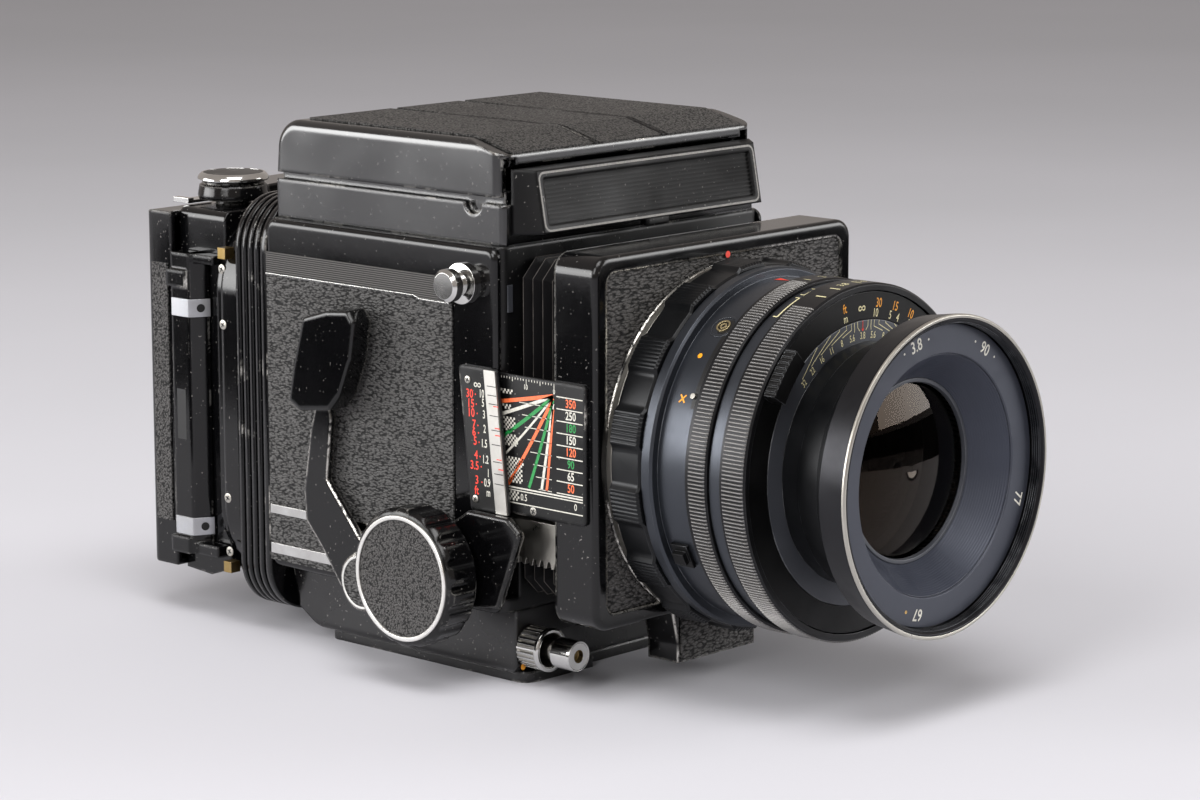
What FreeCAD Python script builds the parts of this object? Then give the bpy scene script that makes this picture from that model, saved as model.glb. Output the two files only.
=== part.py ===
# Medium format film camera: a bellows-focused lens standard, a waist-level hood
# and a revolving film back on one cast body.
# Millimetres. +Z is up, the lens points to -Y, and right and left are the
# photographer's: right is -X, left is +X. The origin is the mouth of the tripod socket.
import FreeCAD, Part
import math
import os

V = FreeCAD.Vector

# Common fits and walls
running = 0.05          # radial clearance of a shaft in its bore
seat = 0.3              # gap between faces of bodies that move past each other
leather = 0.5           # thickness of a leather panel

# Main casting and its side covers
body_half = 50.0        # half width of the casting, without its side covers
body_front = -36.2
body_length = 86.2
body_bottom = 20.0      # height of the base under the casting
body_height = 95.0
body_corner = 3.0
cover = 2.0             # thickness of a side cover
cover_edge = 1.6        # rounding round the edge of a cover
chamber_wall = 13.0     # casting beside the mirror chamber
floor_thick = 7.0
roof_thick = 11.0
sill_height = 11.0      # front sill over the focusing shaft, above the chamber floor
sill_depth = 30.0       # how far the sill reaches back from the front
axis_height = 42.8      # lens axis above the casting's underside
window_front = 9.2      # screen window, from the casting's front
window_length = 68.0
window_side = 2.0       # window narrower than the chamber, each side
screen_over = 2.0       # screen past the window, front and rear
screen_thick = 2.6

body_rear = body_front + body_length
body_top = body_bottom + body_height
axis_z = body_bottom + axis_height
skin_x = body_half + cover
chamber_half = body_half - chamber_wall
chamber_floor = body_bottom + floor_thick
chamber_roof = body_top - roof_thick
chamber_sill = chamber_floor + sill_height
window_start = body_front + window_front
window_end = window_start + window_length

# Base
base_inset = 5.0        # base narrower than the casting, each side
base_slope = 10.8       # rise of the base's rear end towards the back
plate_inset = 3.0
plate_thick = 3.0
plate_lip = 0.8         # base plate past the base at the front
plate_corner = 4.0
notch_gap = 2.0         # front notch wider than the standard's foot, each side
notch_depth = 3.6
socket_radius = 4.76    # 3/8 inch tripod thread
socket_depth = 8.0
bush_radius = 8.0
bush_floor = 3.0

base_half = body_half - base_inset
base_front = body_front + 0.2
base_rear = body_rear - 1.0
base_rear_foot = base_rear - base_slope
plate_half = base_half - plate_inset
plate_front = base_front - plate_lip

# Standard, racks and focusing shaft
extension = 18.4        # from the casting to the standard, as posed
standard_depth = 14.1
standard_gap = 0.3      # standard narrower than the casting, each side
standard_lift = 0.1     # standard's underside above the casting's
standard_over = 0.5     # standard's top above the casting's
standard_wall = 5.4     # side wall round the bellows cavity
standard_floor = 3.5
standard_roof = 3.3
standard_web = 4.7      # thickness of the lens board
standard_corner = 5.0
standard_border = 4.2   # raised rim round the leather
standard_recess = 1.0   # depth of the leather recess
foot_half = 15.0        # foot below the standard
foot_flare = 2.5
foot_bottom = 5.5
foot_step = 3.5         # foot behind the standard's front face
foot_short = 0.2
shaft_back = 18.0       # shaft behind the casting's front
shaft_height = 9.9      # shaft above the casting's underside
shaft_radius = 2.5
bush_rim = 5.2          # bearing bush on a side cover
bush_proud = 1.2
pinion_teeth = 12
tooth_module = 0.8
rack_depth = 4.2        # solid part of the rack above its teeth
rail_height = 5.7       # bright rail above the rack
rail_gap = 1.8          # rail inside the casting's side
rail_thick = 3.6
rail_length = 74.6
channel_gap = 0.8       # room round the rails in the casting
focus_in = 17.5         # travel back from the pose shown

standard_half = body_half - standard_gap
standard_rear = body_front - extension
standard_front = standard_rear - standard_depth
standard_bottom = body_bottom + standard_lift
standard_top = body_top + standard_over
foot_front = standard_front + foot_step
foot_rear = standard_rear - foot_short
notch_half = foot_half + notch_gap
shaft_y = body_front + shaft_back
shaft_z = body_bottom + shaft_height
pitch_radius = tooth_module * pinion_teeth / 2
rack_pitch = math.pi * tooth_module
rack_root = shaft_z + pitch_radius + 1.25 * tooth_module
rail_bottom = rack_root + rack_depth
rail_top = rail_bottom + rail_height
rail_inner = body_half - rail_gap - rail_thick
rail_rear = standard_rear + rail_length
channel_inner = rail_inner - channel_gap
channel_low = shaft_z - pitch_radius - tooth_module - channel_gap
channel_high = rail_top + 0.5

# Bellows
pleats = 5
pleat_depth = 3.4
bellows_gap = 0.8       # bellows to the walls of the standard's cavity
bellows_corner = 4.0
bellows_wall = 1.2

bellows_half = standard_half - standard_wall - bellows_gap
bellows_bottom = standard_bottom + standard_floor + bellows_gap
bellows_top = standard_top - standard_roof - bellows_gap

# Focusing knobs
knob_gap = 4.6          # knob off the side cover
knob_width = 12.4
knob_radius = 18.2
knob_flutes = 18
flute_radius = 2.4
flute_depth = 0.9
knob_ring = 0.8         # bright ring round the inlay
inlay_radius = 15.6
knob_bore_depth = 6.0   # solid end of the knob over the shaft

knob_inner = skin_x + knob_gap
knob_outer = knob_inner + knob_width

# Scale panel and chart plate on the right side
chart_back = 2.7        # chart's front end behind the standard's front
chart_inside = 5.2      # chart reaches this far into its pocket
chart_low = 15.5        # chart's lower edge under the lens axis
chart_high = 20.4
chart_thick = 0.9
panel_thick = 0.8
panel_margin = 1.0      # panel taller than the chart above, half of it below
panel_top_back = 12.5   # panel's upper rear corner behind the casting's front
panel_lean = 4.1        # lower corner further forward than the upper one
panel_width = 13.6
bar_width = 4.2
bar_thick = 0.6

chart_front = standard_front + chart_back
chart_hidden_rear = body_front + chart_inside
chart_bottom = axis_z - chart_low
chart_top = axis_z + chart_high
panel_bottom = chart_bottom - panel_margin / 2
panel_top = chart_top + panel_margin
panel_top_rear = body_front + panel_top_back
panel_low_rear = panel_top_rear - panel_lean
pocket_inner = standard_half - seat
pocket_outer = standard_half + chart_thick + seat

# Leather on the side covers
side_leather_front = 15.2   # behind the casting's front
side_leather_low = 2.0      # above the casting's underside
side_leather_high = 15.6    # below the casting's top
side_leather_step = 2.2
step_back = 28.9

# Cocking lever and focus lock lever on the right side
lever_back = 44.6       # cocking pivot behind the casting's front
lever_height = 2.7      # and above its underside
lever_cap_radius = 7.7
lever_stub = 2.4
arm_gap = 2.2           # cocking arm off the side cover
arm_thick = 2.0
paddle_rise = 5.3
lock_gap = 2.0
lock_thick = 2.0
lock_hub = 9.5

lever_y = body_front + lever_back
lever_z = body_bottom + lever_height
arm_inner = skin_x + arm_gap
arm_outer = arm_inner + arm_thick
paddle_outer = arm_outer + paddle_rise
lock_inner = skin_x + lock_gap
lock_outer = lock_inner + lock_thick

# Strap lugs
lug_back = 11.4         # behind the casting's front
lug_drop = 9.9          # below the casting's top
lug_washer = 5.3
lug_neck = 3.0
lug_head = 4.3

lug_y = body_front + lug_back
lug_z = body_top - lug_drop

# Shutter release
release_inset = 5.0     # release axis from the base's side
release_z = 10.0
release_bore = 3.0
release_tip_radius = 4.0
release_tip_length = 6.5
release_length = 17.5
cable_radius = 1.7
cable_depth = 6.0
collar_radius = 5.5
collar_length = 7.5
collar_gap = 0.5        # room between the collar and the button's tip

release_x = release_inset - base_half

# Hood
hood_inset = 1.5        # hood narrower than the casting, each side
hood_floor = 3.0
hood_base_height = 10.5
hood_wall = 2.0
hood_riser = 1.2
lid_gap = 1.8
lid_height = 14.2
lid_wall = 1.5
lid_step = 0.7          # lid's front edge behind the hood's
lid_slope = 13.3        # length of the lid's sloping front
lid_drop = 3.5          # how far it slopes down
lid_rear_lean = 1.2
lid_rear_round = 8.0
lid_corner = 4.0
lid_edge = 2.4
lid_roof = 1.05         # lid's thickness along its sloping front
hood_pivot_back = 5.0   # lid's pivot behind the hood's front
hood_pivot_drop = 5.6   # and below the lid's top
hood_pin_radius = 1.0
hood_tube_radius = 1.9
ear_rear = 1.9          # ear behind its pivot
ear_front = 0.8
wall_drop = 5.0         # hood's front wall under the lid's pivot
ear_outer = 2.7         # ears inside the hood's side
ear_thick = 2.4
panel_pivot_rise = 2.5  # folding panels' pivots above the lid's lower edge
fold_reach = 28.0       # height of the folding hood panels
fold_thick = 0.8
fold_knuckle = 0.8
name_inset = 8.1        # half width of the plate's face inside the casting's side
name_flare = 3.9        # plate block wider where it meets the hood
name_low_out = 8.0      # lower edge of the face before the hood's front
name_high_out = 5.0
name_low_rise = 3.3     # lower edge above the casting's top
name_high_drop = 1.7    # upper edge below the lid's pivot
name_border = 2.2
name_ribs = 11

hood_half = body_half - hood_inset
hood_front = body_front + 0.2
hood_rear = body_rear - 0.2
hood_inner = hood_half - hood_wall
hood_floor_top = body_top + hood_floor
hood_base_top = body_top + hood_base_height
lid_bottom = hood_base_top + lid_gap
lid_top = lid_bottom + lid_height
lid_front = hood_front + lid_step
lid_slope_end = lid_front + lid_slope
lid_front_top = lid_top - lid_drop
hood_pivot_y = hood_front + hood_pivot_back
hood_pivot_z = lid_top - hood_pivot_drop
panel_pivot_z = lid_bottom + panel_pivot_rise
ear_high = hood_half - ear_outer
ear_low = ear_high - ear_thick
plate_name_half = body_half - name_inset
name_low = (hood_front - name_low_out, body_top + name_low_rise)
name_high = (hood_front - name_high_out, hood_pivot_z - name_high_drop)

# Magnifier under the lid
magnifier_back = 17.5   # its pivot behind the lid's
magnifier_drop = 4.2    # and below the lid's top
magnifier_reach = 18.0  # from its pivot to the lens
magnifier_radius = 14.0
magnifier_wall = 1.8
magnifier_pin = 0.6
magnifier_arm = 9.0
magnifier_tube = 15.5

magnifier_pivot_y = hood_pivot_y + magnifier_back
magnifier_pivot_z = lid_top - magnifier_drop
magnifier_lens_y = magnifier_pivot_y + magnifier_reach

# Mirror
mirror_pivot_front = 10.0   # pivot before the casting's rear
mirror_pivot_drop = 6.0     # and below the chamber's roof
mirror_length = 71.0
mirror_gap = 2.0            # mirror to the chamber's walls
mirror_pin_radius = 1.2
mirror_barrel = 2.2
mirror_back = 1.0           # thickness of the plate behind the pivot's plane
mirror_glass = 2.6
peg_radius = 1.5

mirror_pivot_y = body_rear - mirror_pivot_front
mirror_pivot_z = chamber_roof - mirror_pivot_drop
mirror_half = chamber_half - mirror_gap

# Lens, measured along Y from the standard forwards
mount_ring_thick = 1.7
lock_ring_length = 10.3
flange_length = 3.5
sync_length = 9.7
speed_ring_length = 7.3
band_length = 3.9
aperture_ring_length = 8.6
lip_depth = 3.3         # hollow in the aperture ring's front
scale_recess = 0.5      # distance scale behind the aperture ring's front
collar_step = 5.8       # narrow part of the neck
neck_length = 13.3      # rest of the neck
rim_length = 8.6
filter_depth = 4.7
sleeve_radius = 38.0    # sleeve on which the rings turn
sleeve_wall = 7.0
lock_ring_play = 3.7    # lock ring's bore outside the sleeve
lock_ring_wall = 6.3
lock_lobes = 14
lobe_cut_radius = 9.0
lobe_cut_depth = 1.9
flange_wall = 8.5
sync_wall = 6.0
knurl_wall = 7.4
band_wall = 6.3
lip_wall = 1.9          # lip round the hollow in the aperture ring's front
scale_step = 1.7        # distance scale's bore inside the sleeve
collar_wall = 5.7       # width of the depth scale
neck_swell = 0.9
rim_swell = 2.1
filter_radius = 38.5    # 77 mm filter thread
rim_wall = 2.0
rear_cell_radius = 26.0
rear_cell_back = 0.4    # rear cell's end before the standard's rear
front_glass_radius = 23.0
glass_back = 14.5       # front glass behind the rim
glass_length = 6.4
blade_offset = 3.1      # room of the leaf blades, from the front of the synchro section
blade_room = 5.0
grip_out = 4.4          # grip tab before the scale
grip_start = 43.0       # grip tab, degrees from the top towards the right
grip_end = 60.0
grip_notches = 8
funnel_radius = 30.0    # funnel in front of the glass, at its mouth
glass_seat = 1.2

lens_bore = sleeve_radius - sleeve_wall
lock_ring_inner = sleeve_radius + lock_ring_play
lock_ring_radius = lock_ring_inner + lock_ring_wall
flange_radius = sleeve_radius + flange_wall
sync_radius = sleeve_radius + sync_wall
knurl_radius = sleeve_radius + knurl_wall
band_radius = sleeve_radius + band_wall
lip_radius = knurl_radius - lip_wall
scale_outer = lip_radius - seat
scale_inner = sleeve_radius - scale_step
collar_inner = scale_inner - collar_wall
neck_radius = collar_inner + neck_swell
rim_root = neck_radius + rim_swell
rim_radius = filter_radius + rim_wall
mount_ring_rear = standard_front
mount_ring_front = mount_ring_rear - mount_ring_thick
lock_ring_front = mount_ring_front - lock_ring_length
lens_flange_front = lock_ring_front - flange_length
sync_front = lens_flange_front - sync_length
speed_ring_front = sync_front - speed_ring_length
band_front = speed_ring_front - band_length
aperture_ring_front = band_front - aperture_ring_length
barrel_front = aperture_ring_front + lip_depth
scale_front = aperture_ring_front + scale_recess
neck_step = scale_front - collar_step
neck_front = neck_step - neck_length
rim_front = neck_front - rim_length
filter_floor = rim_front + filter_depth
rear_cell_rear = standard_rear + rear_cell_back
glass_front = rim_front + glass_back
blade_front = sync_front - blade_offset
blade_rear = blade_front + blade_room

# Accessory shoe on the left side
shoe_y = 8.0
shoe_rise = 15.2        # above the lens axis
shoe_foot = 18.6        # width of the foot that slides in
shoe_wall = 1.4
shoe_lip = 3.0
shoe_half_height = 10.0
shoe_depth = 4.8

shoe_z = axis_z + shoe_rise

# Rear frame and revolving adapter
frame_over = 2.0        # frame wider than the casting, each side
frame_below = 14.2      # frame under the casting
frame_above = 4.8
frame_depth = 12.0
frame_corner = 14.0
frame_groove = 1.4
groove_count = 4
frame_rim = 6.7         # frame round its light opening, at the sides
spigot_wall = 4.2
spigot_depth = 5.0
adapter_under = 0.5     # adapter narrower than the frame, each side
adapter_depth = 11.0
adapter_corner = 22.0
adapter_step = 4.2
gate_half_x = 28.0      # film gate, upright: 56 wide and 69.5 high
gate_half_z = 34.75

frame_half = body_half + frame_over
frame_low = body_bottom - frame_below
frame_high = body_top + frame_above
frame_rear = body_rear + frame_depth
light_radius = frame_half - frame_rim
spigot_radius = light_radius + spigot_wall
adapter_half = frame_half - adapter_under
adapter_rear = frame_rear + adapter_depth

# Magazine
magazine_inset = 5.7    # magazine narrower than the adapter, each side
magazine_depth = 18.7
magazine_below = 51.4   # under the lens axis
magazine_above = 51.0
magazine_wall = 3.0
magazine_slope = 3.0
cover_seat = 0.3
cover_depth = 11.0
cover_over = 3.2        # cover wider than the magazine, each side
cover_up = 1.6          # cover's lower edge above the magazine's
cover_down = 1.3        # cover's upper edge below the magazine's
cover_wall = 1.6
cover_corner = 3.0
cover_pivot_drop = 0.8
cover_knuckle = 1.7
cover_pin = 0.8
knuckle_half = 12.0
knuckle_length = 9.7
spool_before = 2.5      # spool axis before the magazine's rear edge
spool_reach = 35.7      # spool axis above or below the lens axis
spool_flange = 11.2
spool_core = 5.0
spool_socket = 2.3
insert_gap = 4.8        # film insert off the magazine's inner wall
insert_side = 2.0
spool_end = 3.5         # spool inside the insert's sides
bar_gap = 0.5           # lock bar off the magazine
bar_wide = 4.1
bar_low_rise = 6.6      # lock bar inside the magazine's ends
bar_high_drop = 11.8
bar_start = 3.2         # bar behind the adapter
bar_depth = 14.2
slide_half_z = 36.3     # dark slide
slide_thick = 0.6
slide_back = 0.9        # dark slide's slot behind the magazine's front
latch_x = 22.0
latch_half = 6.0
latch_back = 6.0        # latch pivot behind the cover's front edge
latch_length = 11.5
latch_pin = 0.7
wind_x = -31.0
wind_back = 13.0        # wind lever's axis behind the magazine's front
wind_radius = 9.0

magazine_half = adapter_half - magazine_inset
magazine_rear = adapter_rear + magazine_depth
magazine_bottom = axis_z - magazine_below
magazine_top = axis_z + magazine_above
cover_front = magazine_rear + cover_seat
cover_rear = cover_front + cover_depth
cover_half = magazine_half + cover_over
cover_bottom = magazine_bottom + cover_up
cover_top = magazine_top - cover_down
cover_pivot_y = cover_front + 0.3
cover_pivot_z = magazine_bottom - cover_pivot_drop
spool_y = magazine_rear - spool_before
insert_half = magazine_half - magazine_wall - insert_gap
spool_half = insert_half - insert_side - spool_end
bar_half_inner = magazine_half + bar_gap
bar_half_outer = bar_half_inner + bar_wide
bar_low = magazine_bottom + bar_low_rise
bar_high = magazine_top - bar_high_drop
bar_front = adapter_rear + bar_start
bar_rear = bar_front + bar_depth
latch_pivot_y = cover_front + latch_back
wind_y = adapter_rear + wind_back


def box(x0, x1, y0, y1, z0, z1):
    return Part.makeBox(x1 - x0, y1 - y0, z1 - z0, V(x0, y0, z0))


def rod_x(radius, x0, x1, y, z):
    return Part.makeCylinder(radius, x1 - x0, V(x0, y, z), V(1, 0, 0))


def rod_y(radius, y0, y1, x=0.0, z=axis_z):
    return Part.makeCylinder(radius, y1 - y0, V(x, y0, z), V(0, 1, 0))


def rod_z(radius, z0, z1, x, y):
    return Part.makeCylinder(radius, z1 - z0, V(x, y, z0), V(0, 0, 1))


# Closed wire through corners, each rounded by the same radius
def soft_wire(corners, radius):
    if radius == 0:
        return Part.makePolygon(corners + corners[:1])
    count = len(corners)
    starts = []
    ends = []
    middles = []
    for number, corner in enumerate(corners):
        before = (corners[number - 1] - corner).normalize()
        after = (corners[(number + 1) % count] - corner).normalize()
        half = before.getAngle(after) / 2
        reach = radius / math.tan(half)
        inwards = (before + after).normalize()
        starts.append(corner + before * reach)
        ends.append(corner + after * reach)
        middles.append(corner + inwards * (radius / math.sin(half) - radius))
    edges = []
    for number in range(count):
        edges.append(Part.Arc(starts[number], middles[number], ends[number]).toShape())
        following = starts[(number + 1) % count]
        if (following - ends[number]).Length > 1e-6:
            edges.append(Part.LineSegment(ends[number], following).toShape())
    return Part.Wire(edges)


# Outline of (y, z) pairs pushed along X
def slab_x(points, x0, x1, radius=0.0):
    wire = soft_wire([V(x0, y, z) for y, z in points], radius)
    return Part.Face(wire).extrude(V(x1 - x0, 0, 0))


# Outline of (x, z) pairs pushed along Y
def slab_y(points, y0, y1, radius=0.0):
    wire = soft_wire([V(x, y0, z) for x, z in points], radius)
    return Part.Face(wire).extrude(V(0, y1 - y0, 0))


# Outline of (x, y) pairs pushed along Z
def slab_z(points, z0, z1, radius=0.0):
    wire = soft_wire([V(x, y, z0) for x, y in points], radius)
    return Part.Face(wire).extrude(V(0, 0, z1 - z0))


# Four corners of an upright rectangle, half widths about the middle
def rectangle(half, low, high):
    return [(-half, low), (half, low), (half, high), (-half, high)]


# Solid of revolution about an axis along Y, from (y, radius) pairs
def turned_y(profile, x=0.0, z=axis_z):
    wire = Part.makePolygon([V(radius, y, 0) for y, radius in profile + profile[:1]])
    solid = Part.Face(wire).revolve(V(0, 0, 0), V(0, 1, 0), 360)
    solid.translate(V(x, 0, z))
    return solid


# Solid of revolution about an axis along X, from (x, radius) pairs
def turned_x(profile, y, z):
    wire = Part.makePolygon([V(x, radius, 0) for x, radius in profile + profile[:1]])
    solid = Part.Face(wire).revolve(V(0, 0, 0), V(1, 0, 0), 360)
    solid.translate(V(0, y, z))
    return solid


# Solid of revolution about an axis along Z, from (z, radius) pairs
def turned_z(profile, x, y):
    wire = Part.makePolygon([V(radius, 0, z) for z, radius in profile + profile[:1]])
    solid = Part.Face(wire).revolve(V(0, 0, 0), V(0, 0, 1), 360)
    solid.translate(V(x, y, 0))
    return solid


def edges_along(solid, direction):
    found = []
    for edge in solid.Edges:
        if edge.Curve.TypeId == "Part::GeomLine":
            if abs(edge.tangentAt(edge.FirstParameter).dot(direction)) > 0.999:
                found.append(edge)
    return found


def mirrored(solid):
    return solid.mirror(V(0, 0, 0), V(1, 0, 0))


def ring_y(outer, inner, y0, y1, chamfer=0.0):
    profile = [(y0, inner), (y0, outer - chamfer), (y0 + chamfer, outer),
               (y1 - chamfer, outer), (y1, outer - chamfer), (y1, inner)]
    if chamfer == 0.0:
        profile = [(y0, inner), (y0, outer), (y1, outer), (y1, inner)]
    return turned_y(profile)


# Pocket between casting and right cover, in which the chart plate slides back
def chart_pocket():
    return box(-pocket_outer, -pocket_inner, body_front - 1, chart_hidden_rear + focus_in + 1.5,
               chart_bottom - 0.6, chart_top + 0.6)


def make_body_casting():
    block = box(-body_half, body_half, body_front, body_rear, body_bottom, body_top)
    block = block.makeFillet(body_corner, edges_along(block, V(0, 0, 1)))
    chamber = box(-chamber_half, chamber_half, body_front - 1, body_rear + 1, chamber_sill, chamber_roof)
    well = box(-chamber_half, chamber_half, body_front + sill_depth, body_rear + 1,
               chamber_floor, chamber_sill + 1)
    window = box(-chamber_half + window_side, chamber_half - window_side, window_start, window_end,
                 chamber_roof - 1, body_top + 1)
    cuts = [chamber, well, window, chart_pocket()]
    cuts.append(rod_x(shaft_radius + running, -body_half - 1, body_half + 1, shaft_y, shaft_z))
    cuts.append(rod_x(mirror_pin_radius + running, -chamber_half - 3, chamber_half + 3,
                      mirror_pivot_y, mirror_pivot_z))
    for side in (-1, 1):
        inner = side * channel_inner
        outer = side * (body_half + 1)
        cuts.append(box(min(inner, outer), max(inner, outer), body_front - 1,
                        rail_rear + focus_in + 2, channel_low, channel_high))
    body = block.cut(cuts)
    # Pegs on the chamber walls that stop the lowered mirror
    slant = math.sqrt(0.5)
    reach = mirror_length - 6
    under = peg_radius + mirror_back + 0.25
    peg_y = mirror_pivot_y - reach * slant + under * slant
    peg_z = mirror_pivot_z - reach * slant - under * slant
    for side in (-1, 1):
        low, high = sorted((side * (chamber_half - 5), side * (chamber_half + 1)))
        body = body.fuse(rod_x(peg_radius, low, high, peg_y, peg_z))
    return body


# Drill through the right side only
def side_drill(radius, y, z):
    return rod_x(radius, -knob_outer, -chamber_half, y, z)


def side_outline():
    return [(body_front, body_bottom), (body_rear, body_bottom),
            (body_rear, body_top), (body_front, body_top)]


def make_side_cover(right):
    plate = slab_x(side_outline(), -skin_x, -body_half, body_corner)
    rim = [edge for edge in plate.Edges if abs(edge.BoundBox.XMin + skin_x) < 0.001
           and abs(edge.BoundBox.XMax + skin_x) < 0.001]
    plate = plate.makeFillet(cover_edge, rim)
    # Bearing bush of the focusing shaft, part of the cover
    bush = rod_x(bush_rim, -skin_x - bush_proud, -skin_x + 0.5, shaft_y, shaft_z)
    plate = plate.fuse(bush).cut(side_drill(shaft_radius + running, shaft_y, shaft_z))
    if not right:
        return mirrored(plate)
    boss = rod_x(lever_cap_radius, -arm_inner + seat, -skin_x + 0.5, lever_y, lever_z)
    stub = rod_x(lever_stub, -arm_outer + 0.2, -arm_inner + seat + 0.5, lever_y, lever_z)
    return plate.cut(chart_pocket()).fuse([boss, stub])


def make_side_leather():
    front = body_front + side_leather_front
    rear = body_rear - 0.8
    low = body_bottom + side_leather_low
    high = body_top - side_leather_high
    step = body_front + step_back
    top = high + side_leather_step
    points = [(front, low), (rear, low), (rear, top), (step, top), (step, high), (front, high)]
    panel = slab_x(points, -skin_x - leather, -skin_x)
    bush_hole = side_drill(bush_rim + 0.3, shaft_y, shaft_z)
    right = panel.cut([side_drill(lever_cap_radius + 0.2, lever_y, lever_z), bush_hole,
                       slab_x(panel_points(0.3), -skin_x - 1, -body_half)])
    shoe_room = shoe_foot / 2 + shoe_wall + 0.3
    left = mirrored(panel).cut([mirrored(bush_hole),
                                box(body_half, skin_x + 1, shoe_y - shoe_room, shoe_y + shoe_room,
                                    shoe_z - shoe_half_height - 0.3, shoe_z + shoe_half_height + 0.3)])
    return Part.makeCompound([right, left])


def make_base_housing():
    points = [(base_front, plate_thick + 2), (base_front + 2, plate_thick), (base_rear_foot, plate_thick),
              (base_rear - 3, plate_thick + 5), (base_rear, body_bottom), (base_front, body_bottom)]
    block = slab_x(points, -base_half, base_half)
    long_edges = [edge for edge in edges_along(block, V(0, 1, 0)) if edge.BoundBox.ZMax < plate_thick + 0.1]
    block = block.makeFillet(2.0, long_edges)
    notch = box(-notch_half - 1.5, notch_half + 1.5, base_front - 1, base_front + notch_depth - 0.8,
                plate_thick - 1, body_bottom + 1)
    bush = rod_z(bush_radius, plate_thick - 1, socket_depth + bush_floor, 0, 0)
    bore = rod_y(release_bore + running, base_front - 1, base_front + 22, release_x, release_z)
    return block.cut([notch, bush, bore])


def make_base_plate():
    points = [(-plate_half, plate_front), (plate_half, plate_front),
              (plate_half, base_rear_foot), (-plate_half, base_rear_foot)]
    plate = slab_z(points, 0, plate_thick, plate_corner)
    notch = box(-notch_half, notch_half, plate_front - 1, plate_front + notch_depth, -1, plate_thick + 1)
    return plate.cut([notch, rod_z(bush_radius, -1, plate_thick + 1, 0, 0)])


def make_tripod_bush():
    top = socket_depth + bush_floor
    return turned_z([(0, socket_radius), (0, bush_radius), (top, bush_radius), (top, 0),
                     (socket_depth, 0), (socket_depth, socket_radius)], 0, 0)


# Strap lug: washer, neck and button head
def make_strap_lugs():
    start = -skin_x
    profile = [(start, 0), (start, lug_washer), (start - 1.2, lug_washer), (start - 1.6, lug_neck),
               (start - 4.0, lug_neck), (start - 4.2, lug_head), (start - 6.4, lug_head),
               (start - 7.2, lug_head - 0.9), (start - 7.2, 0)]
    lug = turned_x(profile, lug_y, lug_z)
    return Part.makeCompound([lug, mirrored(lug)])


# Leaning outline of the fixed scale panel, widened by a margin
def panel_points(margin=0.0):
    return [(panel_low_rear + margin, panel_bottom - margin), (panel_top_rear + margin, panel_top + margin),
            (panel_top_rear - panel_width - margin, panel_top + margin),
            (panel_low_rear - panel_width - margin, panel_bottom - margin)]


def make_distance_panel():
    return slab_x(panel_points(), -skin_x - panel_thick, -skin_x, 1.0)


def make_distance_bar():
    high = panel_top_rear - panel_width
    low = panel_low_rear - panel_width
    points = [(low + bar_width, panel_bottom + 0.3), (high + bar_width, panel_top - 0.3),
              (high + 0.2, panel_top - 0.3), (low + 0.2, panel_bottom + 0.3)]
    return slab_x(points, -skin_x - panel_thick - bar_thick, -skin_x - panel_thick)


# Accessory shoe on the left side, open upwards
def make_accessory_shoe():
    wide = shoe_foot / 2 + shoe_wall
    low = shoe_z - shoe_half_height
    high = shoe_z + shoe_half_height
    outer = skin_x + shoe_depth
    back = box(skin_x, skin_x + 1.2, shoe_y - wide, shoe_y + wide, low, high)
    pieces = [box(skin_x, outer, shoe_y - wide, shoe_y + wide, low, low + 1.2)]
    for side in (-1, 1):
        edge = shoe_y + side * wide
        inner = edge - side * shoe_wall
        lip = inner - side * shoe_lip
        pieces.append(box(skin_x, outer, min(edge, inner), max(edge, inner), low, high))
        pieces.append(box(outer - 1.2, outer, min(edge, lip), max(edge, lip), low, high))
    return back.fuse(pieces).removeSplitter()


def make_rear_frame():
    outline = rectangle(frame_half, frame_low, frame_high)
    frame = slab_y(outline, body_rear, frame_rear, frame_corner)
    slim = slab_y(rectangle(frame_half - frame_groove, frame_low + frame_groove, frame_high - frame_groove),
                  body_rear, frame_rear, frame_corner - frame_groove)
    for number in range(groove_count):
        start = body_rear + 2.0 + 2.5 * number
        band = box(-frame_half - 1, frame_half + 1, start, start + 1.1, frame_low - 1, frame_high + 1)
        frame = frame.cut(band.cut(slim))
    frame = frame.cut(rod_y(light_radius, body_rear - 1, frame_rear + 1))
    return frame.cut(rod_y(spigot_radius + 0.1, frame_rear - spigot_depth, frame_rear + 1))


def make_front_standard():
    block = slab_y(rectangle(standard_half, standard_bottom, standard_top),
                   standard_front, standard_rear, standard_corner)
    rim = [edge for edge in block.Edges if edge.BoundBox.YMax < standard_front + 0.001]
    block = block.makeFillet(1.4, rim)
    recess = slab_y(rectangle(standard_half - standard_border, standard_bottom + standard_border,
                              standard_top - standard_border),
                    standard_front - 1, standard_front + standard_recess, 3.0)
    cavity_half = standard_half - standard_wall
    cavity = box(-cavity_half, cavity_half, standard_front + standard_web, standard_rear + 1,
                 standard_bottom + standard_floor, standard_top - standard_roof)
    seat_boss = rod_y(flange_radius - 0.3, standard_front, standard_front + 2)
    block = block.cut([recess.cut(seat_boss), cavity])
    wide = foot_half + foot_flare
    top = standard_bottom + 1
    foot = slab_y([(-foot_half, foot_bottom), (foot_half, foot_bottom), (foot_half, foot_bottom + 5),
                   (wide, top), (-wide, top), (-foot_half, foot_bottom + 5)], foot_front, foot_rear)
    block = block.fuse(foot)
    return block.cut(rod_y(sleeve_radius + 1.0, standard_front - 2, standard_rear + 2))


def make_standard_leather():
    margin = standard_border + 0.3
    sheet = slab_y(rectangle(standard_half - margin, standard_bottom + margin, standard_top - margin),
                   standard_front + standard_recess - leather, standard_front + standard_recess, 2.7)
    apron = slab_y(rectangle(foot_half - 0.8, foot_bottom + 0.8, standard_bottom - 1.5),
                   foot_front - leather, foot_front, 1.0)
    return Part.makeCompound([sheet.cut(rod_y(flange_radius, mount_ring_front, standard_rear)), apron])


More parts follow.
